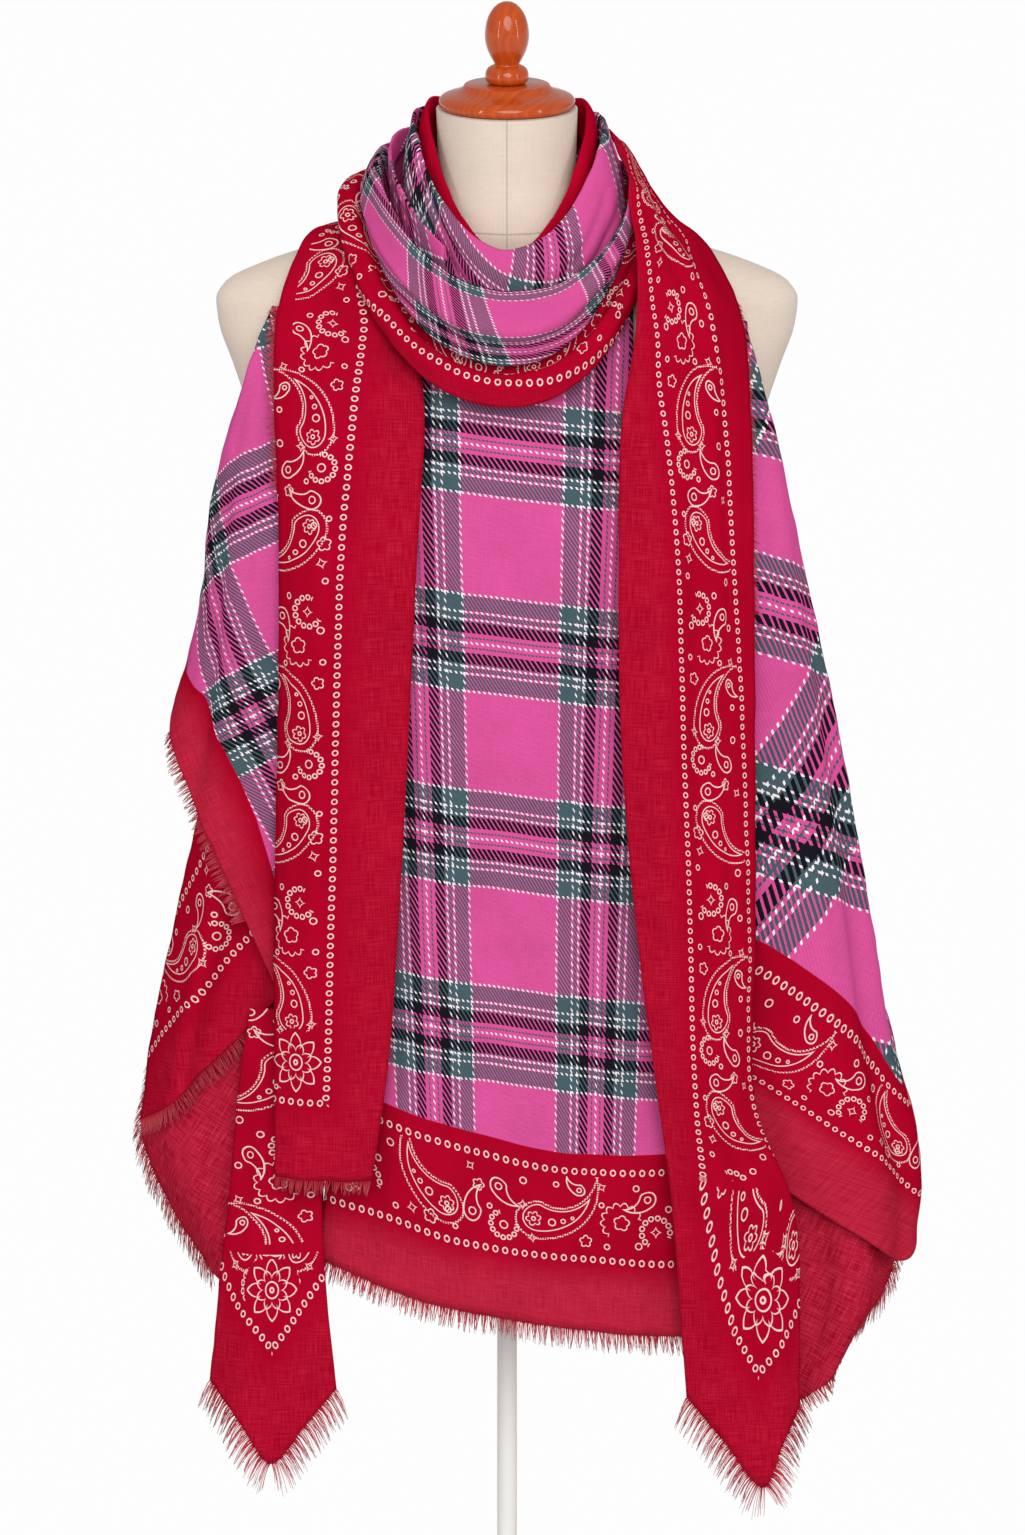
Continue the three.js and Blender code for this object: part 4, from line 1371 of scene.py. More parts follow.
def thicken(piece, thickness):
    """Gives a sheet its thickness, half on each side."""
    bpy.ops.object.select_all(action="DESELECT")
    bpy.context.view_layer.objects.active = piece
    piece.select_set(True)
    wall = piece.modifiers.new("wall", "SOLIDIFY")
    wall.thickness = thickness * MM
    wall.offset = 0
    wall.use_even_offset = False
    bpy.ops.object.modifier_apply(modifier=wall.name)
    piece.data.shade_smooth()


def cloth_piece(name, net, maps, finish):
    rows, columns = net.shape[:2]
    flat_maps = {layer: values.reshape(-1, 2) for layer, values in maps.items()}
    faces = net_faces(rows, columns)
    piece = mesh_piece(name, net.reshape(-1, 3), faces, flat_maps, finish)
    thicken(piece, bpy.context.scene.shawl_sizes.cloth)
    return piece


NETS = {}  # the finished net of each stretch, for its fringe


def span(points):
    return float(np.linalg.norm(np.diff(points, axis=0), axis=-1).sum())


def stretch_net(name, piece, stops):
    rough = net_of(stops, 12, 24)
    step = bpy.context.scene.shawl_sizes.mesh_step
    lengths = (max(span(row) for row in rough), max(span(rough[:, 0]), span(rough[:, -1])))
    across, down = (max(int(length / step), 8) for length in lengths)
    facing = piece["facing"]
    net = press_folds(net_of(stops, across, down), piece["folds"], facing, False)
    flat = flatten(net, facing)
    seed = sum(map(ord, name)) % 7
    NETS[name] = press_creases(net, flat, piece["creases"], facing, seed)
    return NETS[name], flat


def hanging_net(name):
    piece = STRETCHES[name]
    pointed = piece.get("pointed", False)
    return stretch_net(name, piece, [hanging_stops(row, pointed) for row in piece["rows"]])


def wing_net(name):
    piece = WINGS[name]
    return stretch_net(name, piece, [wrapped_stops(row) for row in piece["rows"]])


def loop_net(name, repeat):
    piece = LOOPS[name]
    start, end = piece.get("start", -180), piece.get("end", 180)
    closed = end - start == 360
    around = int((end - start) * 0.5)
    angles = np.radians(np.linspace(start, end, around + 1))
    levels = np.array([loop_points(row, angles, piece.get("fullness", 1)) for row in piece["rows"]])
    net = smooth_line(levels, 24)
    ring_net = press_folds(net[:, :-1], piece.get("folds", []), 1, True) if closed else net
    flat = flatten_loop(net, closed, repeat)
    if closed:
        net = np.concatenate([ring_net, ring_net[:, :1]], axis=1)
    pressed = press_creases(net, flat, piece["creases"], 1, len(name) % 7)
    if closed:
        seam = (pressed[:, 0] + pressed[:, -1]) / 2
        pressed[:, 0] = seam
        pressed[:, -1] = seam
    NETS[name] = pressed
    return pressed, flat


# ------------------------------------------------------------------ fringe


def threads_along(row):
    """Loose threads of uneven length along an edge, gathered at their tips into small clumps."""
    name = row["name"] + "_threads"
    net = NETS[row["on"]]
    edge, inside = (net[-1], net[-2]) if row["side"] == "hem" else (net[:, -1], net[:, -2])
    steps = len(edge) - 1
    stretch = slice(round(row["start"] * steps), round(row["stop"] * steps) + 1)
    edge, inside = edge[stretch], inside[stretch]
    gaps = np.linalg.norm(np.diff(edge, axis=0), axis=-1)
    places = np.concatenate([[0], np.cumsum(gaps)])

    def spot(line, distance):
        return np.array([np.interp(distance, places, line[:, axis]) for axis in range(3)])

    count = int(places[-1] / row["spacing"])
    rng = np.random.default_rng(sum(map(ord, name)))
    points, faces, marks = [], [], []
    clumps = np.cumsum(rng.uniform(*CLUMP, size=count))
    for k in range(count):
        distance = (k + 0.5) * row["spacing"]
        root = spot(edge, distance)
        along = spot(edge, distance + 2) - spot(edge, distance - 2)
        along = along / np.linalg.norm(along)
        outward = root - spot(inside, distance)
        outward -= along * (outward @ along)
        outward /= np.linalg.norm(outward)
        normal = np.cross(along, outward)
        clump = clumps[np.argmin(np.abs(clumps - distance))]
        pull = np.clip(clump - distance, -5, 5) * rng.uniform(*CLUMP_PULL)
        pull = pull + row["lean"] * rng.uniform(*LEAN)
        reach = row["length"] * rng.uniform(*THREAD_REACH)
        sway = rng.uniform(-SWAY, SWAY)
        kick = rng.uniform(-KICK, KICK)
        radius = THREAD * rng.uniform(*THREAD_GIRTH)
        first = len(points)
        for step, share in enumerate((0.0, 0.3, 0.65, 1.0)):
            centre = (root + outward * (reach * share - TUCK) + along * (pull * share ** 1.3)
                      + along * sway * math.sin(3 * share) + normal * kick * share * share
                      + np.array([0, 0, -row["droop"] * reach * share * share]))
            for corner in range(3):
                angle = corner * 2 * math.pi / 3
                offset = along * math.cos(angle) + normal * math.sin(angle)
                points.append(centre + offset * radius * (1 - THREAD_TAPER * share))
                marks.append((share * 1000, k * 7.3))
            if step:
                base = first + (step - 1) * 3
                for a, b in ((base, base + 1), (base + 1, base + 2), (base + 2, base)):
                    faces.append((a, b, b + 3, a + 3))
        faces.append((first + 2, first + 1, first))
        faces.append((first + 9, first + 10, first + 11))
    maps = {"thread": np.array(marks)}
    return mesh_piece(name, np.array(points), faces, maps, "fringe")


FRINGE = "name on side start stop length lean spacing droop"
FRINGES = table(FRINGE, [
    ("front_hem_fringe", "front_panel", "hem", 0.02, 0.98, 14, 2, 0.5, 0),
    ("left_tail_hem_fringe", "left_tail", "hem", 0, 1, 11, 1, 0.5, 0),
    ("left_tail_side_fringe", "left_tail", "side", 0.31, 0.56, 7.5, 1, 0.7, 0.1),
    ("right_tail_inner_fringe", "right_tail", "hem", 0, 0.5, 14, 0, 0.5, 0.7),
    ("right_tail_outer_fringe", "right_tail", "hem", 0.5, 1, 14, 0, 0.5, 0.7),
    ("right_tail_side_fringe", "right_tail", "side", 0.4, 0.6, 5, 2, 0.95, 0.1),
    ("left_point_inner_fringe", "left_point", "hem", 0, 0.5, 14, 0, 0.5, 0.7),
    ("left_point_outer_fringe", "left_point", "hem", 0.5, 1, 14, 0, 0.5, 0.7),
    ("left_wing_fringe", "left_wing", "hem", 0.2, 0.7, 10, 0, 0.5, 0.1),
    ("left_flap_fringe", "left_flap", "hem", 0.12, 1, 12, 2, 0.5, 0.1),
    ("left_under_fringe", "left_under", "side", 0.1, 1, 14, 4, 0.5, 0.6),
    ("right_under_side_fringe", "right_under", "side", 0.05, 1, 14, 4, 0.5, 0.6),
    ("right_under_hem_fringe", "right_under", "hem", 0, 1, 12, 0, 0.5, 0),
])


def add_fringes(net_name):
    """The fringe pieces of one stretch."""
    made = []
    for row in FRINGES:
        if row["on"] == net_name:
            piece = threads_along(row)
            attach(piece, "root")
            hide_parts(row["name"])
            made.append(piece)
    return made


# For each sheet: its finish and slot, its flat size in m, its area where it isn't a rectangle, and
# what it rests on.
SHEETS = {
    "front_panel": ("tartan", "tartan_cloth", (0.32, 0.74), 0.17, "form_body"),
    "left_tail": ("print", "print_cloth", (0.10, 0.72), None, "form_body"),
    "right_tail": ("print", "print_cloth", (0.12, 0.94), 0.09, "form_body"),
    "left_point": ("print", "print_cloth", (0.10, 0.34), 0.024, "front_panel_cloth"),
    "left_flap": ("print", "print_cloth", (0.16, 0.24), 0.024, "left_wing"),
    "left_under": ("sheer", "sheer_hem_cloth", (0.15, 0.26), 0.028, "left_wing"),
    "right_under": ("sheer", "sheer_hem_cloth", (0.15, 0.2), 0.022, "right_wing"),
    "left_wing": ("tartan_hem", "tartan_cloth", (0.20, 0.50), 0.053, "form_body"),
    "right_wing": ("tartan", "tartan_cloth", (0.25, 0.64), 0.11, "form_body"),
    "neck_collar": ("plain", "print_cloth", (0.39, 0.06), None, "form_body"),
    "neck_loop_inner": ("tartan_only", "tartan_cloth", (0.5, 0.07), None, "form_body"),
    "neck_loop_twist": ("tartan_only", "tartan_cloth", (0.21, 0.045), None, "form_body"),
    "neck_loop_outer": ("tartan_only", "tartan_cloth", (0.62, 0.055), None, "form_body"),
    "neck_border": ("print", "print_cloth", (0.68, 0.042), None, "form_body"),
}


def weld(piece):
    """Joins the points where a loop's two ends meet."""
    bpy.ops.object.mode_set(mode="EDIT")
    select_all()
    bpy.ops.mesh.remove_doubles(threshold=0.00001)
    bpy.ops.object.mode_set(mode="OBJECT")


def add_stretch(name, net, maps):
    """One stretch of the shawl with its fringe."""
    finish, slot, flat, area, rests_on = SHEETS[name]
    piece = cloth_piece(name + "_cloth", net, maps, finish)
    if name in LOOPS:
        weld(piece)
    fringes = add_fringes(name)
    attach(piece, "root")
    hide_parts(name)


# ------------------------------------------------------------------ hard pieces


def select_all():
    bpy.ops.mesh.select_all(action="SELECT")


def turned_piece(name, bottom, profile, sides, finish, slot, round_edges=0.0, oval=None):
    """A turned piece: a disc extruded and scaled up its profile of (radius, height) in mm."""
    bpy.ops.object.select_all(action="DESELECT")
    radius, height = profile[0]
    bpy.ops.mesh.primitive_circle_add(vertices=sides, radius=radius * MM, fill_type="NGON",
                                      location=(0, 0, (bottom + height) * MM))
    piece = bpy.context.object
    piece.name = name
    bpy.ops.object.mode_set(mode="EDIT")
    select_all()
    centre = [0, 0, (bottom + height) * MM]
    for wide, high in profile[1:]:
        rise = (high - height) * MM
        bpy.ops.mesh.extrude_region_move(TRANSFORM_OT_translate={"value": (0, 0, rise)})
        centre[2] += rise
        scale = wide / radius
        bpy.ops.transform.resize(value=(scale, scale, 1), center_override=centre)
        radius, height = wide, high
    select_all()
    if oval:
        bpy.ops.transform.resize(value=(oval[0], oval[1], 1), center_override=(0, 0, 0))
    bpy.ops.mesh.normals_make_consistent(inside=False)
    bpy.ops.object.mode_set(mode="OBJECT")
    bpy.ops.object.transform_apply(location=True, rotation=True, scale=True)
    if round_edges:
        edge = piece.modifiers.new("edge", "BEVEL")
        edge.width = round_edges * MM
        edge.segments = 3
        edge.limit_method = "ANGLE"
        edge.angle_limit = math.radians(35)
        bpy.ops.object.modifier_apply(modifier=edge.name)
    finish_piece(piece, 40, finish)
    return piece


def finish_piece(piece, angle, finish):
    bpy.ops.object.shade_smooth_by_angle(angle=math.radians(angle))
    piece.data.materials.append(finish_named(finish))
    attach(piece, "root")


def pick(piece, test):
    """Selects, in edit mode, the points for which test is true."""
    mesh = bmesh.from_edit_mesh(piece.data)
    for point in mesh.verts:
        point.select = bool(test(point.co))
    mesh.select_flush_mode()
    bmesh.update_edit_mesh(piece.data)


CAP_BOTTOM = 1080
GAP = 0.3
FORM_BOTTOM = 380
FOOT_PLATE = 12
CAP_HEIGHT = 17
BASE_HEIGHT = 30
CORE = 0.5  # radius of the disc that a turned piece starts from
FORM_SECTIONS = table("drop half_width front back", [
    (0, 49, 51, 51), (40, 48, 51, 52), (66, 52, 53, 54), (80, 61, 53, 57), (90, 95, 52, 60),
    (99, 137, 53, 62), (110, 171, 56, 65), (122, 195, 60, 69), (134, 202, 64, 73),
    (152, 200, 71, 78), (178, 191, 83, 84), (215, 179, 98, 87), (262, 167, 110, 86),
    (320, 160, 116, 81), (385, 144, 111, 71), (435, 127, 101, 66), (475, 122, 97, 64),
    (515, 127, 98, 68), (565, 141, 102, 78), (630, 160, 108, 90), (690, 166, 110, 94),
    (700, 158, 104, 88),
])
CAP_PROFILE = [
    (CORE, 0), (44, 0), (46.4, 0.9), (47.2, 2.5), (47.5, 4), (47.3, 5.5), (46.4, 7.2), (45, 8.5),
    (42, 9.8), (38, 11), (35, 12.1), (32, 13.5), (30.8, 14.6), (30, 15.5), (29.6, 16.4),
    (28.5, CAP_HEIGHT), (CORE, CAP_HEIGHT),
]
FINIAL_PROFILE = [
    (CORE, 0), (12, 0), (13.8, 1), (14.8, 2.5), (15.2, 4.7), (15, 7), (14.3, 9.2), (13, 11),
    (11, 12.3), (9, 13), (8.7, 13.7), (9, 14.5), (10.2, 16.6), (12, 20), (13.7, 24), (14.8, 28),
    (15.3, 31.5), (15.4, 35), (15, 39), (14.2, 43), (13, 46.8), (11.4, 50), (9.2, 53), (6.5, 55.5),
    (3.4, 57), (CORE, 57.5),
]
BASE_PROFILE = [
    (CORE, 0), (125, 0), (125, 5), (121, 7), (70, 8.9), (28, 10.8), (24, 11.4), (20, 14), (18, 20),
    (16.4, 27), (16, BASE_HEIGHT), (CORE, BASE_HEIGHT),
]


def drum(radius, height):
    """The profile of a plain cylinder."""
    return [(CORE, 0), (radius, 0), (radius, height), (CORE, height)]


def form_body():
    """The body under its linen cover: an oval, extruded up level by level. Each level is scaled to
    its width, and its front and back halves to their own depths."""
    stops = np.array([list(section.values()) for section in FORM_SECTIONS], dtype=float)
    upwards = stops[::-1, 0]
    drops = [np.linspace(a, b, 5)[:-1] for a, b in zip(upwards, upwards[1:])]
    drops = np.concatenate([*drops, [0.0]])
    sizes = [[monotone(stops[:, 0], stops[:, k], drop) * MM for k in (1, 2, 3)] for drop in drops]
    bpy.ops.object.select_all(action="DESELECT")
    level = (CAP_BOTTOM - drops[0]) * MM
    bpy.ops.mesh.primitive_circle_add(vertices=96, radius=1, fill_type="NGON",
                                      location=(0, 0, level))
    piece = bpy.context.object
    piece.name = "form_cover"
    bpy.ops.object.transform_apply(location=True)
    bpy.ops.object.mode_set(mode="EDIT")
    select_all()
    last = (1.0, 1.0, 1.0)
    for drop, size in zip(drops, sizes):
        rise = (CAP_BOTTOM - drop) * MM - level
        if rise > 0:
            bpy.ops.mesh.extrude_region_move(TRANSFORM_OT_translate={"value": (0, 0, rise)})
            level += rise
        wide, front, back = (now / before for now, before in zip(size, last))
        centre = (0, 0, level)
        bpy.ops.transform.resize(value=(wide, 1, 1), center_override=centre)
        pick(piece, lambda at: abs(at.z - level) < 1e-5 and at.y < -1e-6)
        bpy.ops.transform.resize(value=(1, front, 1), center_override=centre)
        pick(piece, lambda at: abs(at.z - level) < 1e-5 and at.y > 1e-6)
        bpy.ops.transform.resize(value=(1, back, 1), center_override=centre)
        pick(piece, lambda at: abs(at.z - level) < 1e-5)
        last = size
    select_all()
    bpy.ops.mesh.normals_make_consistent(inside=False)
    bpy.ops.object.mode_set(mode="OBJECT")
    finish_piece(piece, 50, "linen")
    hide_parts("form_body")
    return piece


def monotone(places, values, place):
    """Smooth value between stops that never overshoots them."""
    k = int(np.clip(np.searchsorted(places, place) - 1, 0, len(places) - 2))
    slopes = np.diff(values) / np.diff(places)
    tangent = np.zeros(len(values))
    product = slopes[:-1] * slopes[1:]
    total = np.where(product > 0, slopes[:-1] + slopes[1:], 1)
    tangent[1:-1] = np.where(product > 0, 2 * product / total, 0)
    tangent[0], tangent[-1] = slopes[0], slopes[-1]
    width = places[k + 1] - places[k]
    t = (place - places[k]) / width
    return ((2 * t ** 3 - 3 * t ** 2 + 1) * values[k]
            + (t ** 3 - 2 * t ** 2 + t) * width * tangent[k]
            + (3 * t ** 2 - 2 * t ** 3) * values[k + 1]
            + (t ** 3 - t ** 2) * width * tangent[k + 1])


# ------------------------------------------------------------------ sizes and colours to change


class ShawlSizes(bpy.types.PropertyGroup):
    cloth: FloatProperty(
        name="Cloth", description="Thickness of the cloth in mm", default=1.3, min=0.5, max=3)
    mesh_step: FloatProperty(
        name="Mesh step", description="Distance between points of the cloth in mm", default=4.2,
        min=2, max=12)
    view_distance: FloatProperty(
        name="View distance", description="Distance of the camera", default=10.0, unit="LENGTH")
    view_height: FloatProperty(
        name="View height", description="Height of the object seen in the frame", default=1.0745,
        unit="LENGTH")
    light: FloatProperty(
        name="Light", description="Strength of the studio lights", default=1.0, min=0, max=4)
    sides: IntProperty(
        name="Turned sides", description="Faces round each turned piece", default=72, min=24)


class ShawlLooks(bpy.types.PropertyGroup):
    red: FloatVectorProperty(
        name="Red", description="Ground of the border", subtype="COLOR", size=3,
        default=(0.38, 0.0016, 0.018))
    # Lighter red of the open hem weave: painted backdrop light showing through it.
    backlit_red: FloatVectorProperty(
        name="Sheer red", description="Open weave of the hem", subtype="COLOR", size=3,
        default=(0.50, 0.028, 0.062))
    print: FloatVectorProperty(
        name="Print", description="Printed lines", subtype="COLOR", size=3,
        default=(0.84, 0.62, 0.58))
    pink: FloatVectorProperty(
        name="Pink", description="Ground of the tartan", subtype="COLOR", size=3,
        default=(0.64, 0.082, 0.29))
    # Lighter red at the tapered ends of the fringe: painted backdrop light showing through them.
    backlit_tip: FloatVectorProperty(
        name="Thread tips", description="Ends of the fringe", subtype="COLOR", size=3,
        default=(0.66, 0.11, 0.14))
    linen: FloatVectorProperty(
        name="Linen", description="Cover of the form", subtype="COLOR", size=3,
        default=(0.72, 0.60, 0.50))
    wood: FloatVectorProperty(
        name="Cherry", description="Light part of the wood", subtype="COLOR", size=3,
        default=(0.60, 0.088, 0.007))
    wood_dark: FloatVectorProperty(
        name="Dark cherry", description="Dark part of the wood", subtype="COLOR", size=3,
        default=(0.36, 0.040, 0.004))
    paint: FloatVectorProperty(
        name="Paint", description="Rod and base", subtype="COLOR", size=3,
        default=(0.80, 0.79, 0.76))


# ------------------------------------------------------------------ operators

BACKDROP = 0.985        # brightness of the white floor and of the white behind the object
ELEVATION = 13.2        # degrees by which the camera looks down
AIM = (0.00385, 0, 0.611)
SENSOR = 36


class ADD_OT_shawl_stage(bpy.types.Operator):
    """Add the floor, the soft lights and the camera"""
    bl_idname = "shawl.add_stage"
    bl_label = "Stage"

    def execute(self, context):
        sizes = context.scene.shawl_sizes
        bpy.ops.object.select_all(action="DESELECT")
        bpy.ops.mesh.primitive_plane_add(size=60, location=(0, 0, -0.0005))
        floor = context.object
        floor.name = "studio_floor"
        finish = Finish("white_floor", roughness=1.0, specular_ior_level=0.0,
                        emission_strength=BACKDROP)
        finish.surface.inputs["Base Color"].default_value = (0, 0, 0, 1)
        finish.surface.inputs["Emission Color"].default_value = (1, 1, 1, 1)
        floor.data.materials.append(finish.material)
        floor.visible_diffuse = False
        floor.visible_shadow = False
        world = bpy.data.worlds.new("studio")
        context.scene.world = world
        world.use_nodes = True
        nodes, links = world.node_tree.nodes, world.node_tree.links
        lit, seen = nodes["Background"], nodes.new("ShaderNodeBackground")
        for background, strength in ((lit, 0.5 * sizes.light), (seen, BACKDROP)):
            background.inputs["Color"].default_value = (1, 1, 1, 1)
            background.inputs["Strength"].default_value = strength
        choice, ray = nodes.new("ShaderNodeMixShader"), nodes.new("ShaderNodeLightPath")
        links.new(ray.outputs["Is Camera Ray"], choice.inputs[0])
        links.new(lit.outputs[0], choice.inputs[1])
        links.new(seen.outputs[0], choice.inputs[2])
        links.new(choice.outputs[0], nodes["World Output"].inputs["Surface"])
        lamps = (
            ("key", "SUN", (0.25, -3.2, 2.3), (0.7, 0.7), 1.9, (0, 0, 0.6)),
            ("left_strip", "AREA", (-1.7, -1.7, 1.5), (0.12, 1.6), 9, (0, 0, 1.1)),
            ("right_strip", "AREA", (1.9, -1.2, 1.5), (0.12, 1.6), 7, (0, 0, 1.1)),
        )
        for name, kind, place, size, power, aim in lamps:
            light = bpy.data.lights.new(name, kind)
            if kind == "SUN":
                light.angle = size[0]
            else:
                light.shape = "RECTANGLE"
                light.size, light.size_y = size
            light.energy = power * sizes.light
            lamp = bpy.data.objects.new(name, light)
            lamp.location = place
            lamp.rotation_euler = (Vector(aim) - Vector(place)).to_track_quat("-Z", "Y").to_euler()
            context.scene.collection.objects.link(lamp)
        elevation = math.radians(ELEVATION)
        view = bpy.data.cameras.new("front")
        view.sensor_fit = "VERTICAL"
        view.sensor_height = SENSOR
        view.lens = SENSOR * sizes.view_distance / sizes.view_height
        view.clip_end = 100
        camera = bpy.data.objects.new("front", view)
        away = Vector((0, -math.cos(elevation), math.sin(elevation)))
        camera.location = Vector(AIM) + sizes.view_distance * away
        camera.rotation_euler = (math.pi / 2 - elevation, 0, 0)
        context.scene.collection.objects.link(camera)
        context.scene.camera = camera
        context.scene.view_settings.view_transform = "Standard"
        return {"FINISHED"}


class ADD_OT_shawl_form(bpy.types.Operator):
    """Add the linen dress form"""
    bl_idname = "shawl.add_form"
    bl_label = "Dress form"

    def execute(self, context):
        form_body()
        return {"FINISHED"}


class ADD_OT_shawl_woodwork(bpy.types.Operator):
    """Add the turned neck cap, the egg finial and the foot board"""
    bl_idname = "shawl.add_woodwork"
    bl_label = "Woodwork"

    def execute(self, context):
        sides = context.scene.shawl_sizes.sides
        wood = ("wood", "cherry_wood")
        cap = turned_piece("neck_cap_wood", CAP_BOTTOM + GAP, CAP_PROFILE, sides, *wood)
        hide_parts("neck_cap")
        top = CAP_BOTTOM + GAP + CAP_HEIGHT + GAP
        egg = turned_piece("finial_wood", top, FINIAL_PROFILE, sides, *wood)
        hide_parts("finial")
        bottom = FORM_BOTTOM - GAP - FOOT_PLATE
        board = turned_piece("foot_board", bottom, drum(100, FOOT_PLATE), sides, *wood, 1.2,
                             (1.48, 0.92))
        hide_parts("foot_plate")
        return {"FINISHED"}


class ADD_OT_shawl_stand(bpy.types.Operator):
    """Add the rod and the round base"""
    bl_idname = "shawl.add_stand"
    bl_label = "Stand"

    def execute(self, context):
        sides = context.scene.shawl_sizes.sides
        base = turned_piece("stand_base", 0, BASE_PROFILE, sides, "paint", "stand_steel", 0.8)
        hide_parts("base")
        bottom = BASE_HEIGHT + GAP
        top = FORM_BOTTOM - GAP - FOOT_PLATE - GAP
        rod = turned_piece("stand_rod", bottom, drum(7, top - bottom), 48, "paint", "stand_steel",
                           0.5)
        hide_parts("rod")
        return {"FINISHED"}


class ADD_OT_shawl_front(bpy.types.Operator):
    """Add the plaid panel that hangs down the front, with its border and fringe"""
    bl_idname = "shawl.add_front"
    bl_label = "Front panel"

    def execute(self, context):
        net, flat = hanging_net("front_panel")
        hem = HEM + above_path(flat, CHAINS["front_panel"], CHAINS["front_panel_inner"])
        weave = weave_map("front_panel", flat)
        add_stretch("front_panel", net, cloth_maps(flat, weave, None, hem))
        return {"FINISHED"}


class ADD_OT_shawl_tails(bpy.types.Operator):
    """Add the two tails that hang forward over the shoulders"""
    bl_idname = "shawl.add_tails"
    bl_label = "Tails"

    def execute(self, context):
        net, flat = hanging_net("left_tail")
        side = HEM + beside_path(flat, CHAINS["left_tail"])
        hem = HEM + length_up(flat, CHAINS["left_tail"], 0.934)
        across = np.linspace(0, 1, flat.shape[1])[None, :]
        flower = flower_map(flat, (0.808, 0.901), 35, 42)
        strip = (across > 0.86) & (shares_down(flat) < 0.46)
        flower = np.where(strip[..., None], BLANK, flower)
        add_stretch("left_tail", net, cloth_maps(flat, flat, side, hem, flower))
        net, flat = hanging_net("right_tail")
        outer, inner = CHAINS["right_tail"], CHAINS["right_tail_inner"]
        low = np.broadcast_to(shares_down(flat) > 0.892, flat.shape[:2])
        beside = beside_path(flat, outer, inner)
        side = HEM + np.where(low, signed_distance(flat, outer[8:], (0.6, 0.93)), beside)
        leg = signed_distance(flat, CHAINS["right_tail_leg"], (0.6, 0.93))
        hem = HEM + np.where(low, leg, length_up(flat, outer, 0.966))
        flower = flower_map(flat, (0.627, 0.945), 37, 60)
        flower = blank_between(flower, low, side > HEM + 7)
        add_stretch("right_tail", net, cloth_maps(flat, flat, side, hem, flower))
        return {"FINISHED"}


class ADD_OT_shawl_left_corner(bpy.types.Operator):
    """Add the corner point and the hem layers at the lower left"""
    bl_idname = "shawl.add_left_corner"
    bl_label = "Left corner"

    def execute(self, context):
        place = (0.485, 0.728)
        net, flat = hanging_net("left_point")
        side = HEM + signed_distance(flat, CHAINS["left_point"], place)
        hem = HEM + signed_distance(flat, CHAINS["left_point_leg"], place)
        centre = at_share(flat, *place)
        upper = np.broadcast_to(shares_down(flat) < 0.63, flat.shape[:2])
        middle = HEM + CHAIN_GAP / 2
        side = np.where(upper, middle + (flat[..., 0] - centre[0]) * 0.8, side)
        hem = np.where(upper, FAR + flat[..., 1], hem)
        flower = blank_between(flower_map(flat, place, 34, 44), upper, side > 0)
        add_stretch("left_point", net, cloth_maps(flat, flat, side, hem, flower))
        net, flat = hanging_net("left_flap")
        hem = HEM + signed_distance(flat, CHAINS["left_flap"], (0.6, 0.3))
        side = along_path(flat, CHAINS["left_flap"])
        add_stretch("left_flap", net, cloth_maps(flat, flat, side, hem))
        net, flat = hanging_net("left_under")
        add_stretch("left_under", net, cloth_maps(flat, turned_map(flat, 32), None, flat[..., 1]))
        return {"FINISHED"}


class ADD_OT_shawl_right_corner(bpy.types.Operator):
    """Add the sheer hem layer at the lower right"""
    bl_idname = "shawl.add_right_corner"
    bl_label = "Right corner"

    def execute(self, context):
        net, flat = hanging_net("right_under")
        add_stretch("right_under", net, cloth_maps(flat, turned_map(flat, -24), None, flat[..., 1]))
        return {"FINISHED"}


class ADD_OT_shawl_wings(bpy.types.Operator):
    """Add the plaid wings that fall back at each side"""
    bl_idname = "shawl.add_wings"
    bl_label = "Wings"

    def execute(self, context):
        net, flat = wing_net("left_wing")
        hem = HEM + signed_distance(flat, CHAINS["left_wing"], (0.5, 0.3))
        add_stretch("left_wing", net, cloth_maps(flat, weave_map("left_wing", flat), None, hem))
        net, flat = wing_net("right_wing")
        hem = HEM + above_path(flat, CHAINS["right_wing"], CHAINS["right_wing_inner"])
        side = along_path(flat, CHAINS["right_wing"][:4])
        add_stretch("right_wing", net, cloth_maps(flat, weave_map("right_wing", flat), side, hem))
        return {"FINISHED"}


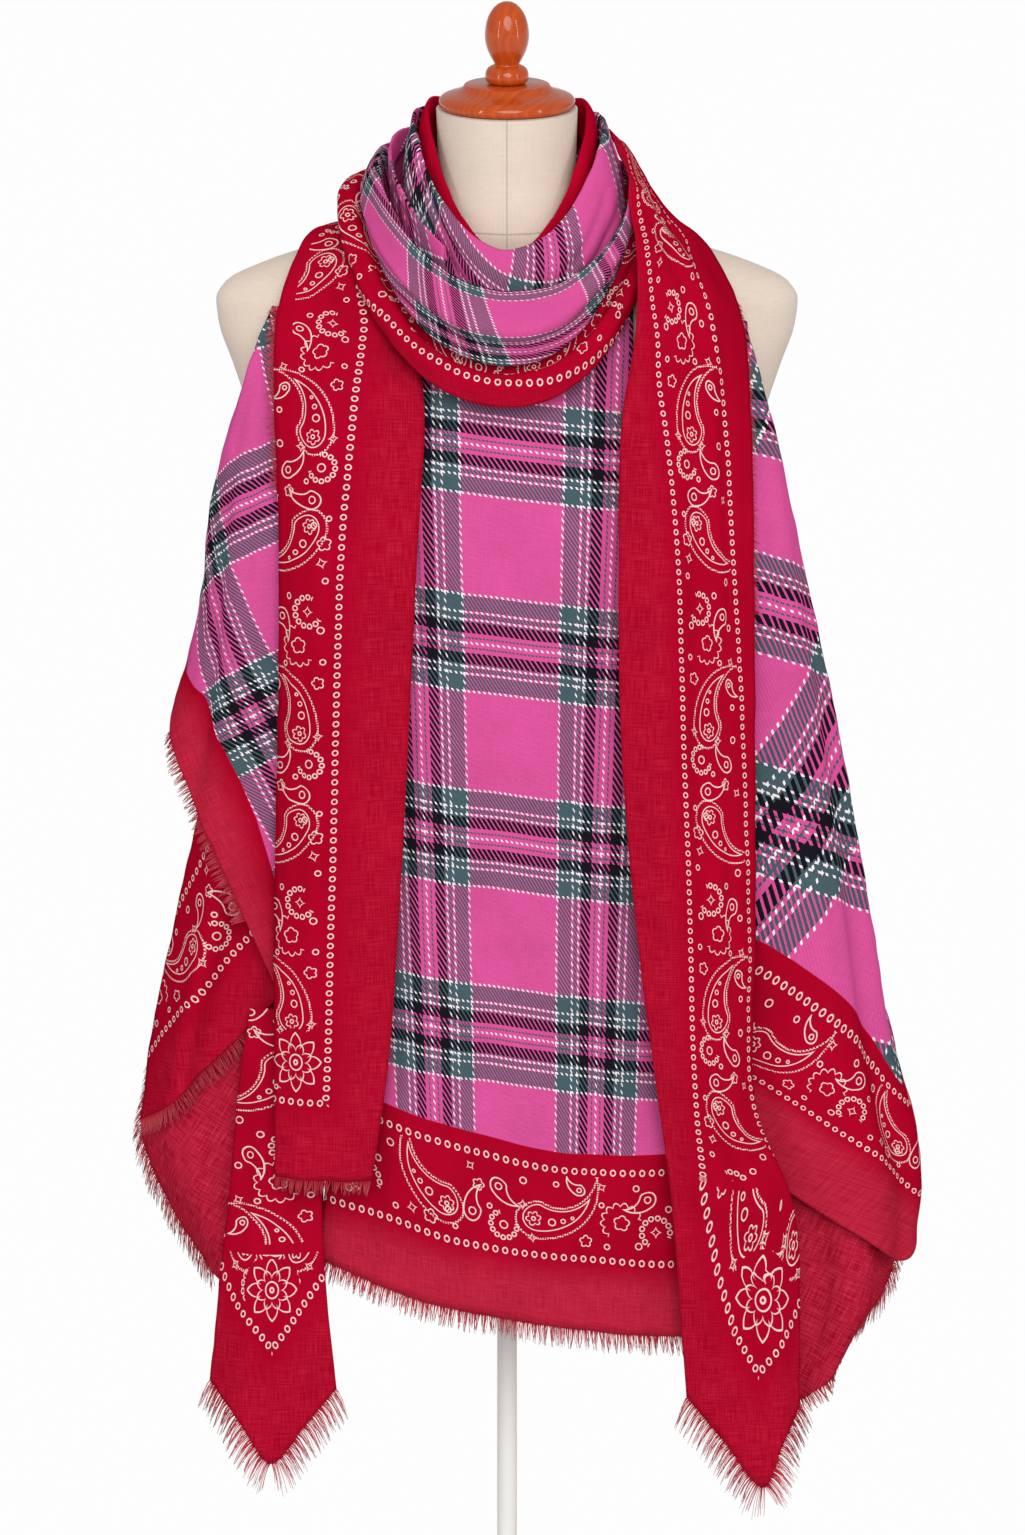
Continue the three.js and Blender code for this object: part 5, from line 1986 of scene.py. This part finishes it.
class ADD_OT_shawl_cowl(bpy.types.Operator):
    """Add the stretches wound round the neck"""
    bl_idname = "shawl.add_cowl"
    bl_label = "Cowl"

    def execute(self, context):
        for name in LOOPS:
            finish = SHEETS[name][0]
            net, flat = loop_net(name, SETT if finish == "tartan_only" else REPEAT)
            if name in WARP_MARKS:
                weave = loop_weave_map(name, flat)
            else:
                weave = turned_map(flat, 24) if name == "neck_loop_twist" else flat
            hem = flat[..., 1] - flat[-1:, :, 1]
            if finish == "print":
                round_loop = np.linspace(0, 1, flat.shape[1])
                hem = hem + np.interp(round_loop, *zip(*LOOP_HEM))[None, :]
            else:
                hem = hem + FAR
            add_stretch(name, net, cloth_maps(flat, weave, None, hem))
        return {"FINISHED"}


class VIEW3D_PT_shawl(bpy.types.Panel):
    """Lists the shawl's sizes, colours and pieces"""
    bl_label = "Shawl"
    bl_space_type = "VIEW_3D"
    bl_region_type = "UI"
    bl_category = "Shawl"

    def draw(self, context):
        for group in (context.scene.shawl_sizes, context.scene.shawl_looks):
            box = self.layout.box()
            for key in group.__annotations__:
                box.prop(group, key)
        for operator in OPERATORS:
            self.layout.operator(operator.bl_idname)


OPERATORS = (
    ADD_OT_shawl_stage, ADD_OT_shawl_form, ADD_OT_shawl_woodwork, ADD_OT_shawl_stand,
    ADD_OT_shawl_front, ADD_OT_shawl_tails, ADD_OT_shawl_left_corner, ADD_OT_shawl_right_corner,
    ADD_OT_shawl_wings, ADD_OT_shawl_cowl,
)
CLASSES = (ShawlSizes, ShawlLooks, *OPERATORS, VIEW3D_PT_shawl)


def register():
    for made in CLASSES:
        bpy.utils.register_class(made)
    bpy.types.Scene.shawl_sizes = PointerProperty(type=ShawlSizes)
    bpy.types.Scene.shawl_looks = PointerProperty(type=ShawlLooks)


def unregister():
    del bpy.types.Scene.shawl_looks
    del bpy.types.Scene.shawl_sizes
    for made in reversed(CLASSES):
        bpy.utils.unregister_class(made)


def main():
    register()
    for operator in OPERATORS:
        group, name = operator.bl_idname.split(".")
        getattr(getattr(bpy.ops, group), name)()


if __name__ == "__main__":
    main()
